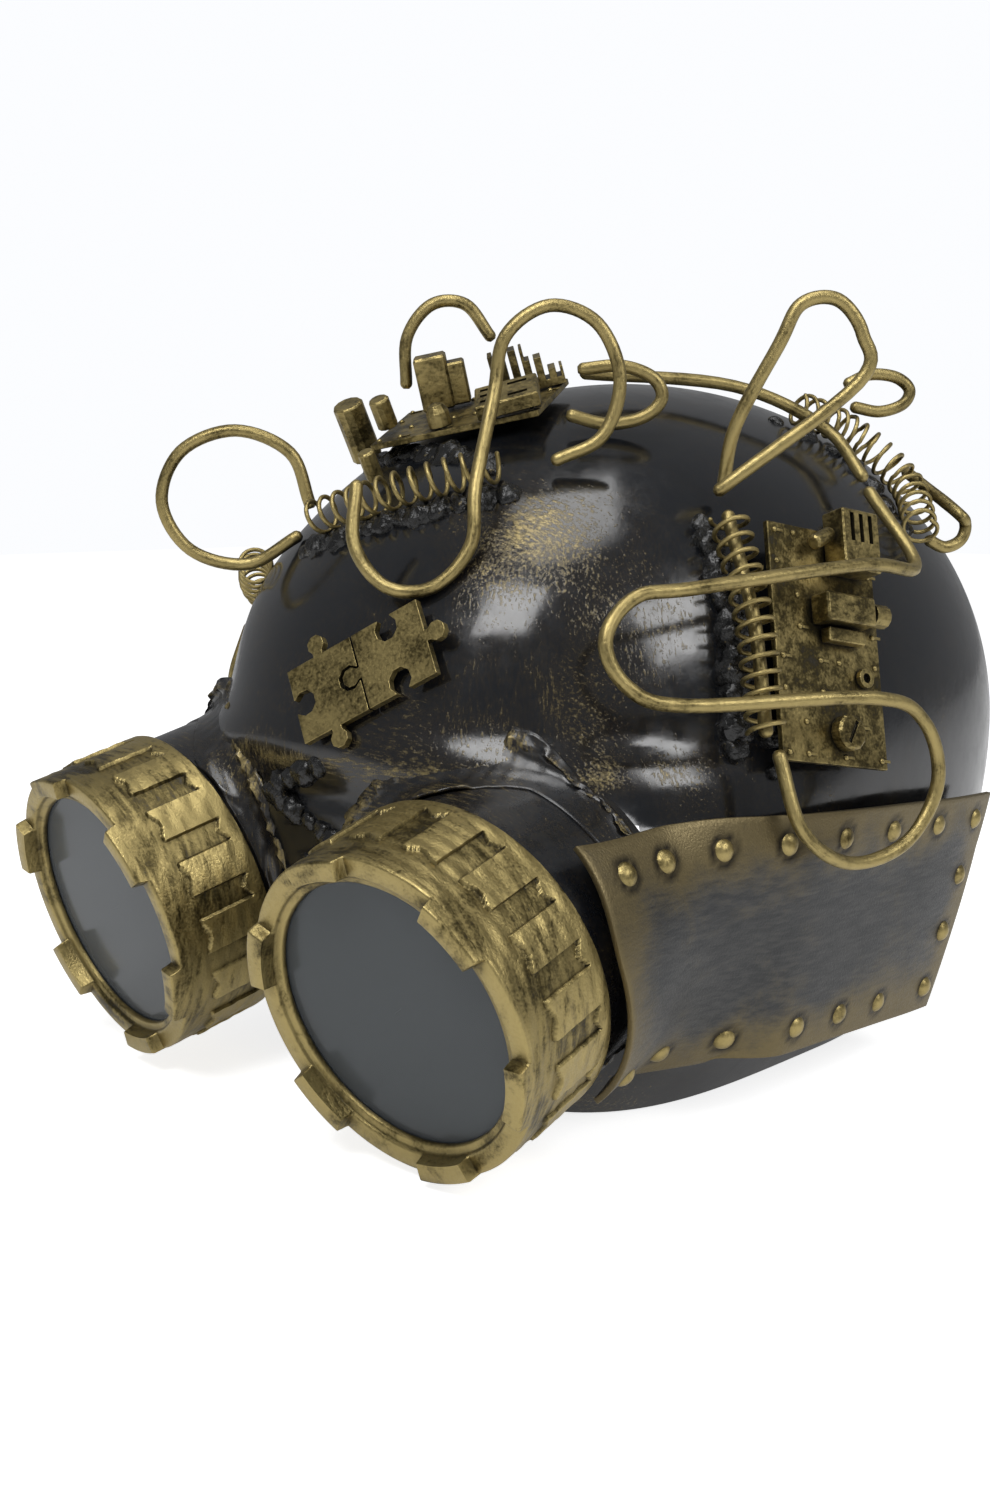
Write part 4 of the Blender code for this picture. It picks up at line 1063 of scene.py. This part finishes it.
def make_springs():
    for node, (centres, turns) in spring_lines().items():
        path = coil_path(centres, COIL_RADIUS, turns, 28)
        verts, faces, run = swept(path, COIL_WIRE, 8)
        coil = new_piece(node + "_coil", verts, faces, MATERIALS["coil"], sharp_deg=80.0,
                         fields={"run": run})
        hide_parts(node)
    rod("side_spring_core", spring_lines()["side_spring"][0])


# ---------------------------------------------------------------- glue, solder and traces


def blob_part(centre, normal, radius, height):
    """Lumpy dome of set glue, sunk a little into what it sits on."""
    points, faces = dome_part(radius, height, frame_at(centre - normal * 0.4, normal), 26, 0.8)
    lumps = np.array([noise.noise(Vector(point) * 0.45) for point in points])
    return points + (points - np.array(centre)) * (0.35 * lumps)[:, None], faces


def glue_run(name, spots, radius, height):
    """Overlapping blobs squeezed out along a seam; their sizes vary with the golden ratio."""
    parts = []
    for index, spot in enumerate(spots):
        share = 0.7 + 0.6 * (index * 0.618 % 1.0)
        parts.append(blob_part(spot, shell_normal(spot), radius * share, height * share))
    points, faces = joined(parts)
    new_piece(name, points, faces, MATERIALS["glue"])


def make_glue():
    shares = np.linspace(0.0, 1.0, 13)
    glue_run("front_spring_glue",
             [front_at(lerp(-24, 30, t), lerp(133, 147, t)) for t in shares], 3.6, 2.6)
    glue_run("side_spring_glue",
             [side_at(lerp(92, 82, t), lerp(140, 90, t)) for t in shares], 3.8, 3.4)
    glue_run("crown_spring_glue",
             [top_at(lerp(42, 72, t), lerp(153, 168, t) + 8 * math.sin(math.pi * t))
              for t in shares[::2]], 3.4, 2.4)
    glue_run("front_board_glue",
             [top_at(lerp(-30, 20, t), lerp(72, 66, t)) for t in shares], 3.6, 2.4)
    glue_run("side_board_glue",
             [side_at(91 + 1.5 * math.sin(9 * t), lerp(84, 136, t)) for t in shares[::2]],
             3.0, 2.4)
    glue_run("bridge_glue",
             [front_at(10 * math.sin(7 * t), lerp(60, 84, t)) for t in shares], 3.2, 2.4)


def board_places():
    """Each scrap board's place, with its half length and half width."""
    front, side = top_at(-4, 84, 1.4), side_at(110, 111)
    upright = Vector((0, 1, 0))
    return {
        "front_board": (frame_at(front, shell_normal(front), upright, 25), 23.0, 15.0),
        "side_board": (frame_at(side_at(110, 111, 1, 1.4), shell_normal(side), turn_deg=-10)
                       @ Matrix.Translation((1, 0, 0)), 17.0, 28.5),
    }


def make_board_detail():
    """Solder drops in rows and the copper traces that join them."""
    for board, (place, half_x, half_y) in board_places().items():
        drops, traces = [], []
        rows, columns = int(half_y / 3.2), int(half_x / 2.6)
        for row in range(rows):
            for column in range(columns):
                if (row * 5 + column * 3) % 7 > 3:
                    continue
                x = lerp(-half_x + 2, half_x - 2, column / (columns - 1))
                y = lerp(-half_y + 2, half_y - 2, row / (rows - 1))
                spot = place @ Matrix.Translation((x, y, BOARD_THICKNESS))
                drops.append(dome_part(0.75, 0.7, spot, 14, 0.1))
                if (row + column) % 2:
                    traces.append(box_part((2.6, 0.7, 0.3), spot @ Matrix.Translation((1.4, 0, 0)),
                                           0.1))
        points, faces = joined(drops + traces)
        new_piece(board + "_solder", points, faces, MATERIALS["rivet"])


# ---------------------------------------------------------------- carried-over components


def soften(node, material, width=0.35):
    """Keeps a solid part's own mesh, rounds its edges as thick paint does and paints it."""
    item = frame["nodes"][node]
    item.data.materials.clear()
    item.data.materials.append(MATERIALS[material])
    weld = item.modifiers.new("Weld", "WELD")
    weld.merge_threshold = 0.00001
    flatten = item.modifiers.new("Flatten", "DECIMATE")
    flatten.decimate_type = "DISSOLVE"
    flatten.angle_limit = math.radians(2.0)
    if width:
        rounding = item.modifiers.new("Rounding", "BEVEL")
        rounding.width = width * MM
        rounding.segments = 3
        rounding.limit_method = "ANGLE"
        rounding.angle_limit = math.radians(35.0)
        rounding.harden_normals = True


def make_components():
    castings = {"heat_sink": 0.15, "slotted_chip": 0.2, "relay_block": 0.3, "large_capacitor": 0.2,
                "middle_capacitor": 0.2, "small_capacitor": 0.2, "bead_component": 0.2,
                "slotted_connector": 0.2, "side_capacitor": 0.2, "trimmer_block": 0.25,
                "trimmer_knob": 0.2, "side_chip": 0.2, "board_eyelet": 0.15, "potentiometer": 0.15}
    for node, width in castings.items():
        soften(node, "casting", width)
    for node in ("front_board", "side_board"):
        soften(node, "board", 0.3)
    for node in ("lower_jigsaw_piece", "upper_jigsaw_piece"):
        soften(node, "jigsaw", 0.5)


# ---------------------------------------------------------------- stage


def make_stage():
    bpy.context.scene.view_settings.view_transform = "Standard"
    floor_data = bpy.data.meshes.new("floor")
    half = 3.0
    floor_data.from_pydata([(-half, -half, 0), (half, -half, 0), (half, half, 0), (-half, half, 0)],
                           [], [(0, 1, 2, 3)])
    material, tree, shader = fresh_material("floor_paint")
    shader.inputs["Base Color"].default_value = (0.86, 0.86, 0.86, 1.0)
    shader.inputs["Roughness"].default_value = 0.8
    shader.inputs["Emission Color"].default_value = (1.0, 1.0, 1.0, 1.0)
    direct = add_node(tree, "LightPath").outputs["Is Camera Ray"]
    plug(tree, remap(tree, direct, 0.0, 1.0, 0.25, 0.8), shader.inputs["Emission Strength"])
    floor_data.materials.append(material)
    floor = bpy.data.objects.new("floor", floor_data)
    floor.location.z = -0.0005
    bpy.context.scene.collection.objects.link(floor)
    world = bpy.data.worlds.new("studio")
    world.use_nodes = True
    tree = world.node_tree
    tree.nodes["Background"].inputs["Color"].default_value = (0.97, 0.98, 1.0, 1.0)
    seen = add_node(tree, "LightPath").outputs["Is Camera Ray"]
    plug(tree, remap(tree, seen, 0.0, 1.0, 0.26, 1.0), tree.nodes["Background"].inputs["Strength"])
    bpy.context.scene.world = world


def add_softbox(name, azimuth_deg, elevation_deg, distance, size, power):
    """Square soft light on a dome round the mask; azimuth 0 is in front of its face."""
    middle = Vector((0.0, 0.0, 0.09))
    azimuth, elevation = math.radians(azimuth_deg), math.radians(elevation_deg)
    away = Vector((math.sin(azimuth) * math.cos(elevation), -math.cos(azimuth) * math.cos(elevation),
                   math.sin(elevation)))
    data = bpy.data.lights.new(name, "AREA")
    data.size = size
    data.energy = power
    lamp = bpy.data.objects.new(name, data)
    lamp.location = middle + away * distance
    lamp.rotation_mode = "QUATERNION"
    lamp.rotation_quaternion = away.to_track_quat("Z", "Y")
    bpy.context.scene.collection.objects.link(lamp)


def make_lights():
    add_softbox("key_light", 20, 50, 1.1, 0.45, 5.5)
    add_softbox("side_light", 95, 35, 1.2, 0.4, 4)
    add_softbox("top_light", 60, 85, 1.2, 0.5, 3.5)


def make_camera():
    """Looks at the mask's left cheek from the front, a little above it."""
    place, focal_length = Vector((301.4, -218.3, 149.1)), 39.2
    azimuth, elevation = math.radians(44.54), math.radians(9.19)
    look = Vector((-math.sin(azimuth) * math.cos(elevation),
                   math.cos(azimuth) * math.cos(elevation), -math.sin(elevation)))
    data = bpy.data.cameras.new("camera")
    data.sensor_width = 36.0
    data.lens = focal_length
    data.clip_start = 0.01
    camera = bpy.data.objects.new("camera", data)
    camera.location = place * MM + MASK_ORIGIN
    camera.rotation_mode = "QUATERNION"
    camera.rotation_quaternion = look.to_track_quat("-Z", "Y")
    bpy.context.scene.collection.objects.link(camera)
    bpy.context.scene.camera = camera


make_materials()
make_shell()
for goggle in ("left", "right"):
    make_tube(goggle)
    make_collar(goggle)
    make_cap_ring(goggle)
    make_lens(goggle)
make_plates()
make_wires()
make_springs()
make_glue()
make_board_detail()
make_components()
make_stage()
make_lights()
make_camera()
